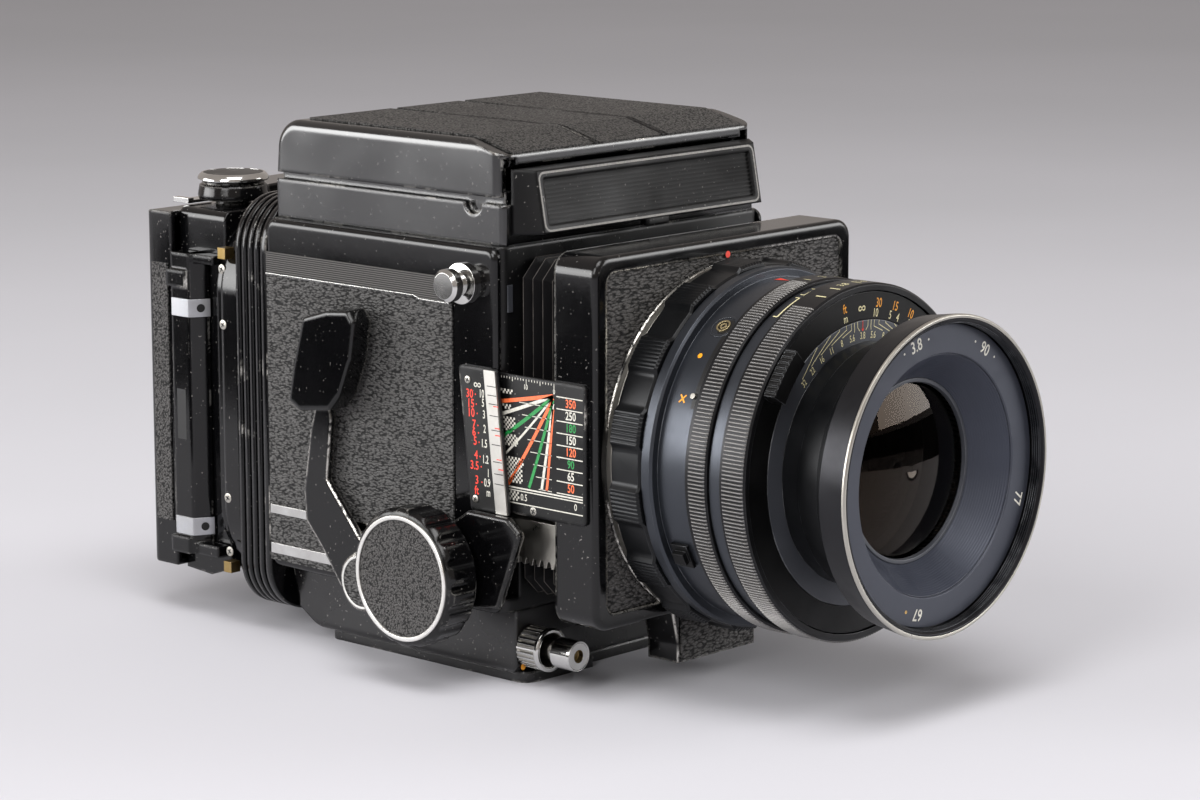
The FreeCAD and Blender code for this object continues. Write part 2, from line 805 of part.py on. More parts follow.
# Rail with a rack cut in its lower edge, one each side
def make_focus_rails():
    y0 = standard_rear
    rail = box(rail_inner, rail_inner + rail_thick, y0, rail_rear, rail_bottom, rail_top)
    stem = box(rail_inner + 0.4, rail_inner + rail_thick, y0, rail_rear, rack_root, rail_bottom)
    solid = rail.fuse(stem)
    tip = 0.5 * tooth_module
    root = 1.1 * tooth_module
    low = shaft_z + pitch_radius - 0.9 * tooth_module
    first = math.ceil((y0 + root - shaft_y) / rack_pitch - 0.5)
    last = math.floor((rail_rear - root - shaft_y) / rack_pitch - 0.5)
    teeth = []
    for number in range(first, last + 1):
        middle = shaft_y + (number + 0.5) * rack_pitch
        points = [(middle - tip, low), (middle + tip, low), (middle + root, rack_root), (middle - root, rack_root)]
        teeth.append(slab_x(points, rail_inner + 0.4, rail_inner + rail_thick))
    solid = solid.fuse(teeth).removeSplitter()
    return Part.makeCompound([solid, mirrored(solid)])


# Pinion with one tooth pointing up, between two rack teeth
def make_focus_pinions():
    root_radius = pitch_radius - 1.2 * tooth_module
    tip_radius = pitch_radius + 0.9 * tooth_module
    hub = rod_x(root_radius, rail_inner + 0.4, rail_inner + rail_thick, shaft_y, shaft_z)
    teeth = []
    for number in range(pinion_teeth):
        points = [(-0.85 * tooth_module, root_radius - 0.4), (0.85 * tooth_module, root_radius - 0.4),
                  (0.62 * tooth_module, pitch_radius), (0.3 * tooth_module, tip_radius),
                  (-0.3 * tooth_module, tip_radius), (-0.62 * tooth_module, pitch_radius)]
        tooth = slab_x(points, rail_inner + 0.4, rail_inner + rail_thick)
        tooth.rotate(V(0, 0, 0), V(1, 0, 0), number * 360.0 / pinion_teeth)
        tooth.translate(V(0, shaft_y, shaft_z))
        teeth.append(tooth)
    pinion = hub.fuse(teeth).cut(rod_x(shaft_radius, 0, skin_x, shaft_y, shaft_z)).removeSplitter()
    return Part.makeCompound([pinion, mirrored(pinion)])


def make_focus_shaft():
    end = knob_outer - knob_bore_depth
    return rod_x(shaft_radius, -end, end, shaft_y, shaft_z)


# Fluted knob with a raised bright ring round its leather inlay
def make_focus_knob():
    face = -knob_outer
    ring = inlay_radius + knob_ring
    profile = [(-knob_inner, shaft_radius), (-knob_inner, knob_radius - 3.2),
               (-knob_inner - 1.5, knob_radius - 1.6), (-knob_inner - 3.2, knob_radius),
               (face + 1.6, knob_radius), (face + 0.5, knob_radius - 0.9),
               (face + 0.3, ring), (face, ring - 0.2), (face, inlay_radius),
               (face + leather + 0.1, inlay_radius), (face + leather + 0.1, 0),
               (face + knob_bore_depth, 0), (face + knob_bore_depth, shaft_radius)]
    knob = turned_x(profile, shaft_y, shaft_z)
    distance = knob_radius + flute_radius - flute_depth
    cutters = []
    for number in range(knob_flutes):
        angle = 2 * math.pi * number / knob_flutes
        cutters.append(rod_x(flute_radius, face - 1, -knob_inner + 1,
                             shaft_y + distance * math.cos(angle), shaft_z + distance * math.sin(angle)))
    return knob.cut(cutters)


def make_knob_inlays():
    inlay = rod_x(inlay_radius - 0.1, -knob_outer + 0.1, -knob_outer + leather + 0.1, shaft_y, shaft_z)
    return Part.makeCompound([inlay, mirrored(inlay)])


# Corner steps from a pivot turned into places
def about(pivot_first, pivot_second, steps):
    return [(pivot_first + first, pivot_second + second) for first, second in steps]


def make_focus_lock_lever():
    points = about(shaft_y, shaft_z, [(0.2, 9.6), (-11.3, 17.3), (-25.4, 17.1), (-30.0, 13.5),
                                      (-21.9, -6.8), (-12.9, -8.0), (0.2, -9.6)])
    blade = slab_x(points, -lock_outer, -lock_inner, 1.6)
    blade = blade.makeFillet(0.7, [edge for edge in blade.Edges if edge.BoundBox.XMax < -lock_outer + 0.001])
    hub = rod_x(lock_hub, -lock_outer, -skin_x - leather - seat, shaft_y, shaft_z)
    return blade.fuse(hub).cut(side_drill(bush_rim + running, shaft_y, shaft_z))


def make_cocking_lever():
    arm_points = about(lever_y, lever_z, [(18.2, 44.9), (13.2, 45.8), (12.5, 41.6), (14.4, 25.2), (2.6, 11.7),
                                          (-4.0, 4.8), (-4.4, -4.2), (2.6, -6.5), (9.6, -2.4), (16.4, 6.6),
                                          (22.5, 13.3), (23.1, 21.3), (20.3, 37.9)])
    arm = slab_x(arm_points, -arm_outer, -arm_inner, 0.8)
    paddle_points = about(lever_y, lever_z, [(17.2, 69.2), (8.0, 71.9), (0.0, 72.7), (-2.2, 69.8), (-0.5, 59.6),
                                             (3.5, 49.9), (7.3, 45.6), (18.9, 44.1), (23.1, 46.3), (21.4, 54.9)])
    paddle = slab_x(paddle_points, -paddle_outer, -arm_outer + 1.2, 1.0)
    rim = [edge for edge in paddle.Edges if edge.BoundBox.XMax < -paddle_outer + 0.001]
    paddle = paddle.makeFillet(0.9, rim)
    cap = rod_x(lever_cap_radius, -arm_outer - 1.5, -arm_outer + 0.2, lever_y, lever_z)
    hub = rod_x(lever_cap_radius, -arm_outer, -arm_inner, lever_y, lever_z)
    bore = rod_x(lever_stub + running, -arm_outer + 0.15, -arm_inner + 1, lever_y, lever_z)
    return arm.fuse([paddle, cap, hub]).cut(bore)


def make_chart_plate():
    points = [(chart_hidden_rear, chart_bottom), (chart_hidden_rear, chart_top),
              (chart_front, chart_top), (chart_front, chart_bottom)]
    return slab_x(points, -standard_half - chart_thick, -standard_half, 1.5)


def bellows_wire(half, low, high, y, corner):
    points = [(-half + corner, low), (half - corner, low), (half, low + corner), (half, high - corner),
              (half - corner, high), (-half + corner, high), (-half, high - corner), (-half, low + corner)]
    return Part.makePolygon([V(x, y, z) for x, z in points + points[:1]])


# Pleated square bellows between the lens board and the front of the casting
def make_bellows():
    front = standard_front + standard_web + seat
    rear = body_front - seat
    step = (rear - front) / (2 * pleats)
    outer = []
    inner = []
    for number in range(2 * pleats + 1):
        fold = pleat_depth if number % 2 == 0 else 0.0
        y = front + number * step
        wall = fold + bellows_wall
        for wires, inset in ((outer, fold), (inner, wall)):
            wires.append(bellows_wire(bellows_half - inset, bellows_bottom + inset, bellows_top - inset,
                                      y, bellows_corner))
    return Part.makeLoft(outer, True, True).cut(Part.makeLoft(inner, True, True))


def make_release_button():
    tip = base_front - release_length
    shoulder = tip + release_tip_length
    profile = [(tip, cable_radius), (tip, release_tip_radius - 0.5), (tip + 0.5, release_tip_radius),
               (shoulder, release_tip_radius), (shoulder, release_bore), (base_front + 15, release_bore),
               (base_front + 15, 0), (tip + cable_depth, 0), (tip + cable_depth, cable_radius)]
    return turned_y(profile, release_x, release_z)


def make_release_collar():
    rear = base_front - seat
    front = rear - collar_length
    bore = release_tip_radius + collar_gap
    profile = [(rear, bore), (rear, collar_radius - 0.4), (rear - 0.4, collar_radius),
               (front + 0.6, collar_radius), (front, collar_radius - 0.6), (front, bore)]
    collar = turned_y(profile, release_x, release_z)
    cutters = []
    for number in range(16):
        angle = 2 * math.pi * number / 16
        cutters.append(rod_y(0.55, front + 1.0, rear - 1.0, release_x + (collar_radius + 0.2) * math.cos(angle),
                             release_z + (collar_radius + 0.2) * math.sin(angle)))
    return collar.cut(cutters)


def make_mirror():
    # Built level, hinged at its rear edge, then lowered by 45 degrees
    plate = box(-mirror_half, mirror_half, -mirror_length, -1.5, -mirror_back, 1.2)
    glass = box(-mirror_half + 1.5, mirror_half - 1.5, -mirror_length + 1.5, -5, 1.2, mirror_glass)
    barrel = Part.makeCylinder(mirror_barrel, 2 * mirror_half, V(-mirror_half, 0, 0), V(1, 0, 0))
    pin = Part.makeCylinder(mirror_pin_radius, 2 * (chamber_half + 2), V(-chamber_half - 2, 0, 0), V(1, 0, 0))
    mirror = plate.fuse([glass, barrel, pin])
    mirror.rotate(V(0, 0, 0), V(1, 0, 0), 45)
    mirror.translate(V(0, mirror_pivot_y, mirror_pivot_z))
    return mirror


def make_focusing_screen():
    return box(-chamber_half + 0.5, chamber_half - 0.5, window_start - screen_over, window_end + screen_over,
               body_top, body_top + screen_thick)


def make_hood_base():
    outer = box(-hood_half, hood_half, hood_front, hood_rear, body_top, hood_base_top)
    outer = outer.makeFillet(2.0, edges_along(outer, V(0, 0, 1)))
    reach = screen_over + 0.2
    floor_hole = box(-chamber_half + 0.3, chamber_half - 0.3, window_start - reach, window_end + reach,
                     body_top - 1, hood_floor_top + 1)
    front = hood_front + hood_wall
    rear = hood_rear - hood_wall
    room = box(-hood_inner, hood_inner, front, rear, hood_floor_top, hood_base_top + 1)
    base = outer.cut([floor_hole, room])
    riser_low = hood_floor_top - 0.5
    riser_high = panel_pivot_z - 1.1
    pieces = []
    for side in (-1, 1):
        low, high = sorted((side * hood_inner, side * (hood_inner - hood_riser)))
        pieces.append(box(low, high, front - 0.5, rear + 0.5, riser_low, riser_high))
        # Ear that carries the lid's pivot
        low, high = sorted((side * ear_low, side * ear_high))
        pieces.append(box(low, high, front - 0.5, hood_pivot_y + ear_rear, riser_low, riser_high))
        pieces.append(box(low, high, hood_pivot_y - ear_front, hood_pivot_y + ear_rear, riser_low, hood_pivot_z))
        pieces.append(rod_x(ear_rear, low, high, hood_pivot_y, hood_pivot_z))
    pieces.append(box(-hood_inner, hood_inner, rear - hood_riser, rear + 0.5, riser_low, riser_high))
    pieces.append(box(-ear_low, ear_low, hood_front, front, hood_base_top - 1, hood_pivot_z - wall_drop))
    base = base.fuse(pieces).removeSplitter()
    notches = []
    for side in (-1, 1):
        low, high = sorted((side * (hood_inner + 0.01), side * (hood_half + 1)))
        notches.append(rod_x(3.0, low, high, hood_front + 11.0, hood_base_top))
    pivots = rod_x(hood_pin_radius + running, -ear_high - 0.2, ear_high + 0.2, hood_pivot_y, hood_pivot_z)
    return base.cut(notches + [pivots])


# Bare ribbed plate on the slanted hood front, flaring where it meets the hood
def make_hood_nameplate():
    rear_half = plate_name_half + name_flare
    rear_low = name_low[1] - 0.6
    rear_high = name_high[1] + 0.3
    rear = [V(-rear_half, hood_front, rear_low), V(rear_half, hood_front, rear_low),
            V(rear_half, hood_front, rear_high), V(-rear_half, hood_front, rear_high)]
    face = [V(-plate_name_half, *name_low), V(plate_name_half, *name_low),
            V(plate_name_half, *name_high), V(-plate_name_half, *name_high)]
    block = Part.makeLoft([Part.makePolygon(rear + rear[:1]), Part.makePolygon(face + face[:1])], True, True)
    run_y = name_high[0] - name_low[0]
    run_z = name_high[1] - name_low[1]
    length = math.hypot(run_y, run_z)
    along = (run_y / length, run_z / length)
    inwards = (along[1], -along[0])

    def on_face(distance, depth):
        return (name_low[0] + along[0] * distance + inwards[0] * depth,
                name_low[1] + along[1] * distance + inwards[1] * depth)

    inner = plate_name_half - name_border
    far = length - name_border
    pocket = slab_x([on_face(name_border, -1), on_face(name_border, 0.9), on_face(far, 0.9),
                     on_face(far, -1)], -inner, inner)
    block = block.cut(pocket)
    ribs = []
    pitch = (far - name_border) / name_ribs
    for number in range(name_ribs):
        low = name_border + pitch * (number + 0.25)
        ribs.append(slab_x([on_face(low, 1.0), on_face(low + pitch * 0.25, 0.45),
                            on_face(low + pitch * 0.5, 1.0)], -inner, inner))
    tab = box(-4, 4, name_low[0] - 0.9, name_low[0] + 2.0, name_low[1] - 1.6, name_low[1] + 0.4)
    return block.fuse(ribs + [tab])


def make_hood_lid():
    outline = [(lid_front, lid_bottom), (hood_rear, lid_bottom), (hood_rear - lid_rear_lean, lid_top),
               (lid_slope_end, lid_top), (lid_front, lid_front_top)]
    lid = slab_x(outline, -hood_half, hood_half)
    back = [edge for edge in edges_along(lid, V(1, 0, 0))
            if edge.BoundBox.YMin > lid_slope_end + 1 and edge.BoundBox.ZMin > lid_top - 0.1]
    lid = lid.makeFillet(lid_rear_round, back)
    lid = lid.makeFillet(lid_corner, [edge for edge in edges_along(lid, V(0, 0, 1))])
    sides = [edge for edge in edges_along(lid, V(0, 1, 0)) if edge.BoundBox.ZMin > lid_top - 0.1]
    lid = lid.makeFillet(lid_edge, sides)
    inner = hood_half - lid_wall
    hollow_rear = hood_rear - lid_wall
    roof = lid_top - lid_wall
    hollow = slab_x([(lid_front - 1, lid_bottom - 1), (hollow_rear, lid_bottom - 1),
                     (hollow_rear, panel_pivot_z + 1.2), (hollow_rear - 1.0, roof - 6.5),
                     (hollow_rear - 8.0, roof), (lid_slope_end, roof),
                     (lid_front - 1, lid_front_top - lid_roof - 0.26)], -inner, inner)
    lid = lid.cut(hollow)
    half = ear_low - 0.4
    lip_low = hood_pivot_z - 0.6
    lip = slab_x([(lid_front, lip_low), (lid_front + 1.2, lip_low), (lid_front + 1.2, lid_front_top),
                  (lid_front, lid_front_top - 0.5)], -half, half)
    tube = rod_x(hood_tube_radius, -half, half, hood_pivot_y, hood_pivot_z)
    web = box(-half, half, hood_pivot_y - 1.0, hood_pivot_y + 1.0, hood_pivot_z, hood_pivot_z + 2.6)
    pin = rod_x(hood_pin_radius, -ear_high + 0.2, ear_high - 0.2, hood_pivot_y, hood_pivot_z)
    pieces = [lip, tube, web, pin]
    for side in (-1, 1):
        low, high = sorted((side * (magnifier_tube + 0.3), side * (magnifier_tube + 1.9)))
        pieces.append(box(low, high, magnifier_pivot_y - 1.5, magnifier_pivot_y + 1.5,
                          magnifier_pivot_z - 1.5, lid_top - 1))
    end = magnifier_tube + 1.0
    pieces.append(rod_x(magnifier_pin, -end, end, magnifier_pivot_y, magnifier_pivot_z))
    return lid.fuse(pieces)


# Three leather strips on the lid, split by two grooves that run front to back
def make_lid_leather():
    front = lid_front + 0.3
    front_z = lid_front_top + lid_drop * 0.3 / lid_slope
    rear = hood_rear - 9.5
    points = [(front, front_z), (lid_slope_end, lid_top), (rear, lid_top), (rear, lid_top + leather),
              (lid_slope_end, lid_top + leather), (front, front_z + leather)]
    outer = hood_half - 4.5
    strips = []
    for left, right in ((-outer, -14.3), (-11.8, 11.8), (14.3, outer)):
        strips.append(slab_x(points, left, right))
    return Part.makeCompound(strips)


# Mitred folding side panel, hinged along Y, lying flat under the lid
def make_side_panel():
    pivot_x = hood_inner - hood_riser / 2 - 0.1
    front = hood_pivot_y + ear_rear + 0.4
    rear = hood_rear - hood_wall - hood_riser / 2 - 0.9
    tip = pivot_x - fold_reach
    points = [(pivot_x, front), (tip, front + fold_reach), (tip, rear - fold_reach), (pivot_x, rear)]
    panel = slab_z(points, panel_pivot_z - fold_thick / 2, panel_pivot_z + fold_thick / 2)
    knuckle = rod_y(fold_knuckle, front, rear, pivot_x, panel_pivot_z)
    return panel.fuse(knuckle)


def make_rear_panel():
    pivot_y = hood_rear - hood_wall - hood_riser / 2
    half = hood_inner - hood_riser / 2 - 0.9
    tip = pivot_y - fold_reach
    points = [(-half, pivot_y), (half, pivot_y), (half - fold_reach, tip), (-half + fold_reach, tip)]
    panel = slab_z(points, panel_pivot_z - fold_thick / 2, panel_pivot_z + fold_thick / 2)
    knuckle = rod_x(fold_knuckle, -half + 2, half - 2, pivot_y, panel_pivot_z)
    return panel.fuse(knuckle)


# Magnifier on a forked arm, carried under the lid
def make_magnifier():
    tube = rod_x(1.2, -magnifier_tube, magnifier_tube, magnifier_pivot_y, magnifier_pivot_z)
    low = magnifier_pivot_z - 1.5
    high = magnifier_pivot_z + 1.0
    arm = box(-magnifier_arm, magnifier_arm,
              magnifier_pivot_y, magnifier_lens_y - magnifier_radius + 2.5, low, high)
    rim = rod_z(magnifier_radius, low, high, 0, magnifier_lens_y)
    inner = magnifier_radius - magnifier_wall
    hole = rod_z(inner, low - 1, high + 1, 0, magnifier_lens_y)
    lens = turned_z([(low + 0.5, 0), (low + 0.9, inner), (high - 0.9, inner), (high - 0.5, 0)],
                    0, magnifier_lens_y)
    end = magnifier_tube + 1.0
    bore = rod_x(magnifier_pin + running, -end, end, magnifier_pivot_y, magnifier_pivot_z)
    return tube.fuse([arm, rim]).cut([hole, bore]).fuse(lens)


# Bright bayonet seat for the lens on the standard
def make_lens_mount_ring():
    return ring_y(flange_radius - 0.6, sleeve_radius + 0.6, mount_ring_front, mount_ring_rear)


# Lock ring with alternate plain and ribbed lobes
def make_lens_lock_ring():
    rear = mount_ring_front - seat
    ring = ring_y(lock_ring_radius, lock_ring_inner, lock_ring_front, rear, 1.0)
    distance = lock_ring_radius + lobe_cut_radius - lobe_cut_depth
    cutters = []
    for number in range(lock_lobes):
        angle = 2 * math.pi * (number + 0.5) / lock_lobes
        cutters.append(rod_y(lobe_cut_radius, lock_ring_front - 1, rear + 1,
                             distance * math.cos(angle), axis_z + distance * math.sin(angle)))
    for number in range(0, lock_lobes, 2):
        for offset in (-2, -1, 0, 1, 2):
            angle = 2 * math.pi * number / lock_lobes + offset * 0.055
            cutters.append(rod_y(0.7, lock_ring_front - 1, rear - 1.5,
                                 (lock_ring_radius + 0.1) * math.cos(angle),
                                 axis_z + (lock_ring_radius + 0.1) * math.sin(angle)))
    return ring.cut(cutters)


# Main barrel: shoulder on the mount, flange, synchro section, ring sleeve and index band
def make_lens_barrel():
    shoulder = lock_ring_inner - 0.1
    flange_rear = lock_ring_front - seat
    profile = [(standard_front + 3.5, lens_bore), (standard_front + 3.5, sleeve_radius + 0.5),
               (mount_ring_front, sleeve_radius + 0.5), (mount_ring_front, shoulder), (flange_rear, shoulder),
               (flange_rear, flange_radius), (lens_flange_front + 0.6, flange_radius),
               (lens_flange_front, flange_radius - 0.6), (lens_flange_front, sync_radius),
               (sync_front, sync_radius), (sync_front, sleeve_radius),
               (speed_ring_front - seat, sleeve_radius), (speed_ring_front - seat, band_radius),
               (band_front, band_radius), (band_front, sleeve_radius), (barrel_front, sleeve_radius),
               (barrel_front, lens_bore)]
    return turned_y(profile)


def make_speed_ring():
    return ring_y(knurl_radius, sleeve_radius + 0.1, speed_ring_front, sync_front - 0.2, 0.5)


# Knurled ring with a hollow in its front for the distance scale
def make_aperture_ring():
    rear = band_front - 0.2
    front = aperture_ring_front
    profile = [(rear, sleeve_radius + 0.1), (rear, knurl_radius - 0.5), (rear - 0.5, knurl_radius),
               (front + 0.5, knurl_radius), (front, knurl_radius - 0.5), (front, lip_radius),
               (barrel_front, lip_radius), (barrel_front, sleeve_radius + 0.1)]
    return turned_y(profile)


# Flat ring that carries the distance scale, with a serrated tab to turn it by
def make_distance_ring():
    ring = ring_y(scale_outer, scale_inner, scale_front, barrel_front - seat)
    tab_front = scale_front - grip_out
    tab_rear = aperture_ring_front - seat
    tab_outer = knurl_radius - 0.4
    tab_inner = scale_inner + 3.7
    tab = ring_y(tab_outer, tab_inner, tab_front, tab_rear, 0.4)
    root = ring_y(scale_outer, tab_inner, tab_rear - 0.1, scale_front + 0.5)
    first = math.radians(grip_start)
    last = math.radians(grip_end)
    reach = 2 * knurl_radius
    wedge = slab_y([(0, axis_z), (-reach * math.sin(first), axis_z + reach * math.cos(first)),
                    (-reach * math.sin(last), axis_z + reach * math.cos(last))], tab_front - 1, scale_front + 1)
    tab = tab.fuse(root).common(wedge)
    cutters = []
    for number in range(grip_notches):
        angle = first + (last - first) * (number + 0.5) / grip_notches
        cutters.append(rod_y(0.5, tab_front - 1, tab_rear - 0.2, -(tab_outer + 0.1) * math.sin(angle),
                             axis_z + (tab_outer + 0.1) * math.cos(angle)))
    return ring.fuse(tab.cut(cutters))


# Front barrel: depth scale collar, stepped neck and funnel in front of the glass
def make_front_barrel():
    collar = scale_inner - 0.1
    face = scale_front - 0.1
    shoulder = neck_step - 7.0
    thread_back = filter_radius - 0.6
    glass_edge = front_glass_radius + glass_seat
    profile = [(barrel_front, front_glass_radius + 2), (barrel_front, collar),
               (face, collar), (face, collar_inner),
               (neck_step, collar_inner), (neck_step, neck_radius), (shoulder, neck_radius),
               (shoulder - 0.6, rim_root), (neck_front, rim_root + 1.2), (neck_front, thread_back),
               (filter_floor, thread_back), (filter_floor + 0.8, funnel_radius),
               (glass_front - 1.6, front_glass_radius), (glass_front - 0.5, front_glass_radius),
               (glass_front - 0.5, glass_edge), (glass_front + glass_length, glass_edge)]
    return turned_y(profile)


def make_front_rim():
    thread_back = filter_radius - 0.6
    profile = [(neck_front, thread_back), (neck_front, rim_radius - 1.1), (rim_front + 1.2, rim_radius),
               (rim_front + 0.4, rim_radius), (rim_front, rim_radius - 0.4), (rim_front, filter_radius + 0.6),
               (rim_front + 0.6, filter_radius), (filter_floor, filter_radius), (filter_floor, thread_back)]
    return turned_y(profile)


# Height of a spherical face above its rim at a distance from the axis
def cap_height(radius, bulge, distance):
    sphere = (radius ** 2 + bulge ** 2) / (2 * abs(bulge))
    height = math.sqrt(sphere ** 2 - distance ** 2) - (sphere - abs(bulge))
    return math.copysign(height, bulge)


# Disc with two spherical faces; a positive bulge is convex
def lens_element(radius, front, rear, front_bulge, rear_bulge):
    side = radius * 0.7
    front_mid = V(side, front - cap_height(radius, front_bulge, side), 0)
    rear_mid = V(side, rear + cap_height(radius, rear_bulge, side), 0)
    edges = [Part.Arc(V(0, front - front_bulge, 0), front_mid, V(radius, front, 0)).toShape(),
             Part.LineSegment(V(radius, front, 0), V(radius, rear, 0)).toShape(),
             Part.Arc(V(radius, rear, 0), rear_mid, V(0, rear + rear_bulge, 0)).toShape(),
             Part.LineSegment(V(0, rear + rear_bulge, 0), V(0, front - front_bulge, 0)).toShape()]
    solid = Part.Face(Part.Wire(edges)).revolve(V(0, 0, 0), V(0, 1, 0), 360)
    solid.translate(V(0, 0, axis_z))
    return solid


def make_lens_glasses():
    front = lens_element(front_glass_radius + glass_seat, glass_front, glass_front + glass_length, 3.2, -2.0)
    middle = lens_element(front_glass_radius - 1.0, blade_front - 11.0, blade_front - 7.0, 2.0, 1.0)
    rear = lens_element(rear_cell_radius - 5.0, rear_cell_rear - 8.0, rear_cell_rear - 2.5, -1.0, 2.0)
    return Part.makeCompound([front, middle, rear])


# Cells that hold the inner glasses, and the plate that carries the blades
def make_rear_cell():
    shoulder = standard_front + 2.7
    glass = front_glass_radius - 1.0
    inner = rear_cell_radius - 5.0
    stop = inner - 1.0
    room = lens_bore - 2.0
    profile = [(rear_cell_rear, rear_cell_radius - 3), (rear_cell_rear, rear_cell_radius),
               (shoulder, rear_cell_radius), (shoulder, lens_bore), (barrel_front, lens_bore),
               (barrel_front, glass), (blade_front - 7.0, glass), (blade_front - 3.0, stop), (blade_front, stop),
               (blade_front, room), (blade_rear, room), (blade_rear, stop), (shoulder, stop),
               (rear_cell_rear - 8.0, inner), (rear_cell_rear - 2.0, inner)]
    return turned_y(profile)


# Five shutter blades and five aperture blades between the cells
def make_leaf_blades():
    blades = []
    reach = lens_bore - 2.4
    for start, inner in ((blade_front + 0.4, 2.0), (blade_front + 2.9, 9.0)):
        for number in range(5):
            points = [(inner, -0.5), (reach - 3.8, -reach / 2), (reach, 0.0), (inner + 4, 3.0)]
            y0 = start + 0.35 * number
            blade = slab_y([(x, axis_z + z) for x, z in points], y0, y0 + 0.25)
            blade.rotate(V(0, 0, axis_z), V(0, 1, 0), 72 * number)
            blades.append(blade)
    return Part.makeCompound(blades)


# Small lever that slides round the synchro section
def make_sync_lever():
    y0 = sync_front + 3.4
    lever = box(-1.6, 1.6, y0, y0 + 3.6, axis_z + sync_radius + 0.1, axis_z + sync_radius + 2.4)
    foot = box(-3.4, 3.4, y0 - 0.8, y0 + 4.4, axis_z + sync_radius + 0.1, axis_z + sync_radius + 1.0)
    solid = lever.fuse(foot)
    solid.rotate(V(0, 0, axis_z), V(0, 1, 0), -118)
    return solid


# Adapter plate that turns on a spigot in the rear frame
def make_revolving_adapter():
    low = axis_z - adapter_half
    high = axis_z + adapter_half
    plate = slab_y(rectangle(adapter_half, low, high), frame_rear + seat, adapter_rear, adapter_corner)
    step_front = adapter_rear - adapter_step
    step = slab_y(rectangle(adapter_half - 2.0, low + 2, high - 2),
                  step_front, adapter_rear + 1, adapter_corner - 2)
    wide = adapter_half + 1
    collar = box(-wide, wide, step_front, adapter_rear + 1, low - 1, high + 1).cut(step)
    spigot = ring_y(spigot_radius, light_radius, frame_rear - spigot_depth + 0.2, frame_rear + seat + 0.1)
    gate = box(-gate_half_x - 3, gate_half_x + 3, frame_rear - 1, adapter_rear + 1,
               axis_z - gate_half_z - 2, axis_z + gate_half_z + 2)
    return plate.cut(collar).fuse(spigot).cut(gate)


# Sliding bar with two hooks that hold the magazine
def make_lock_bar():
    x0 = bar_half_inner
    x1 = bar_half_outer
    bar = box(x0, x1, bar_front, bar_rear, bar_low, bar_high)
    bar = bar.makeFillet(0.8, [edge for edge in edges_along(bar, V(0, 0, 1)) if edge.BoundBox.XMin > x1 - 0.1])
    pieces = []
    for low, high in ((bar_low, bar_low + 3.0), (bar_high - 2.4, bar_high)):
        pieces.append(box(x0, x1 - 0.8, adapter_rear + 0.2, bar_front + 1, low, high))
    for low in (bar_low + 5.6, bar_high - 17.5):
        pieces.append(box(x0 + 1, x1 + 0.9, bar_rear - 7.6, bar_rear + 0.6, low, low + 4.6))
    middle = (bar_low + bar_high) / 2
    recess = box(x1 - 0.8, x1 + 2, bar_front + 5.5, bar_rear - 4.5, middle - 10, middle + 4)
    return bar.fuse(pieces).cut(recess)


def make_magazine_body():
    points = [(adapter_rear, magazine_bottom + magazine_slope), (adapter_rear + 8.4, magazine_bottom),
              (magazine_rear, magazine_bottom + 0.8), (magazine_rear, magazine_top), (adapter_rear, magazine_top)]
    block = slab_x(points, -magazine_half, magazine_half)
    top_edges = [edge for edge in edges_along(block, V(0, 1, 0)) if edge.BoundBox.ZMin > magazine_top - 1]
    block = block.makeFillet(2.5, top_edges)
    inner = magazine_half - magazine_wall
    chamber = box(-inner, inner, adapter_rear + 3.2, magazine_rear + 1, magazine_bottom + 3.2,
                  magazine_top - magazine_wall)
    gate = box(-gate_half_x, gate_half_x, adapter_rear - 1, adapter_rear + 4,
               axis_z - gate_half_z, axis_z + gate_half_z)
    slot_front = adapter_rear + slide_back
    slot = box(-gate_half_x - 6, magazine_half + 1, slot_front, slot_front + slide_thick + 0.4,
               axis_z - slide_half_z - 0.3, axis_z + slide_half_z + 0.3)
    body = block.cut([chamber, gate, slot])
    knuckles = []
    for side in (-1, 1):
        low, high = sorted((side * (knuckle_half + seat), side * (knuckle_half + seat + knuckle_length)))
        knuckles.append(rod_x(cover_knuckle, low, high, cover_pivot_y, cover_pivot_z))
        start = magazine_rear - 5.7
        knuckles.append(slab_x([(start, cover_pivot_z - 0.4), (cover_pivot_y, cover_pivot_z - cover_knuckle),
                                (cover_pivot_y, cover_pivot_z + 0.6), (magazine_rear - 0.3, magazine_bottom + 1.0),
                                (start, magazine_bottom + 1.0)], low, high))
    end = knuckle_half + seat + knuckle_length
    pin = rod_x(cover_pin, -end, end, cover_pivot_y, cover_pivot_z)
    hub = turned_z([(magazine_top - 1, 0), (magazine_top - 1, 5.0), (magazine_top + 1.2, 5.0),
                    (magazine_top + 1.2, 3.0), (magazine_top + 3.0, 3.0), (magazine_top + 3.0, 0)], wind_x, wind_y)
    return body.fuse(knuckles + [pin, hub])


def make_dark_slide():
    y0 = adapter_rear + slide_back + 0.2
    end = adapter_half
    sheet = box(-gate_half_x - 5, end, y0, y0 + slide_thick, axis_z - slide_half_z, axis_z + slide_half_z)
    bail = box(end - 0.5, end + 6.5, y0 - 0.5, y0 + slide_thick + 0.7, axis_z - 24, axis_z + 24)
    window = box(end + 1.1, end + 4.9, y0 - 2, y0 + 3, axis_z - 20, axis_z + 20)
    return sheet.fuse(bail.cut(window))


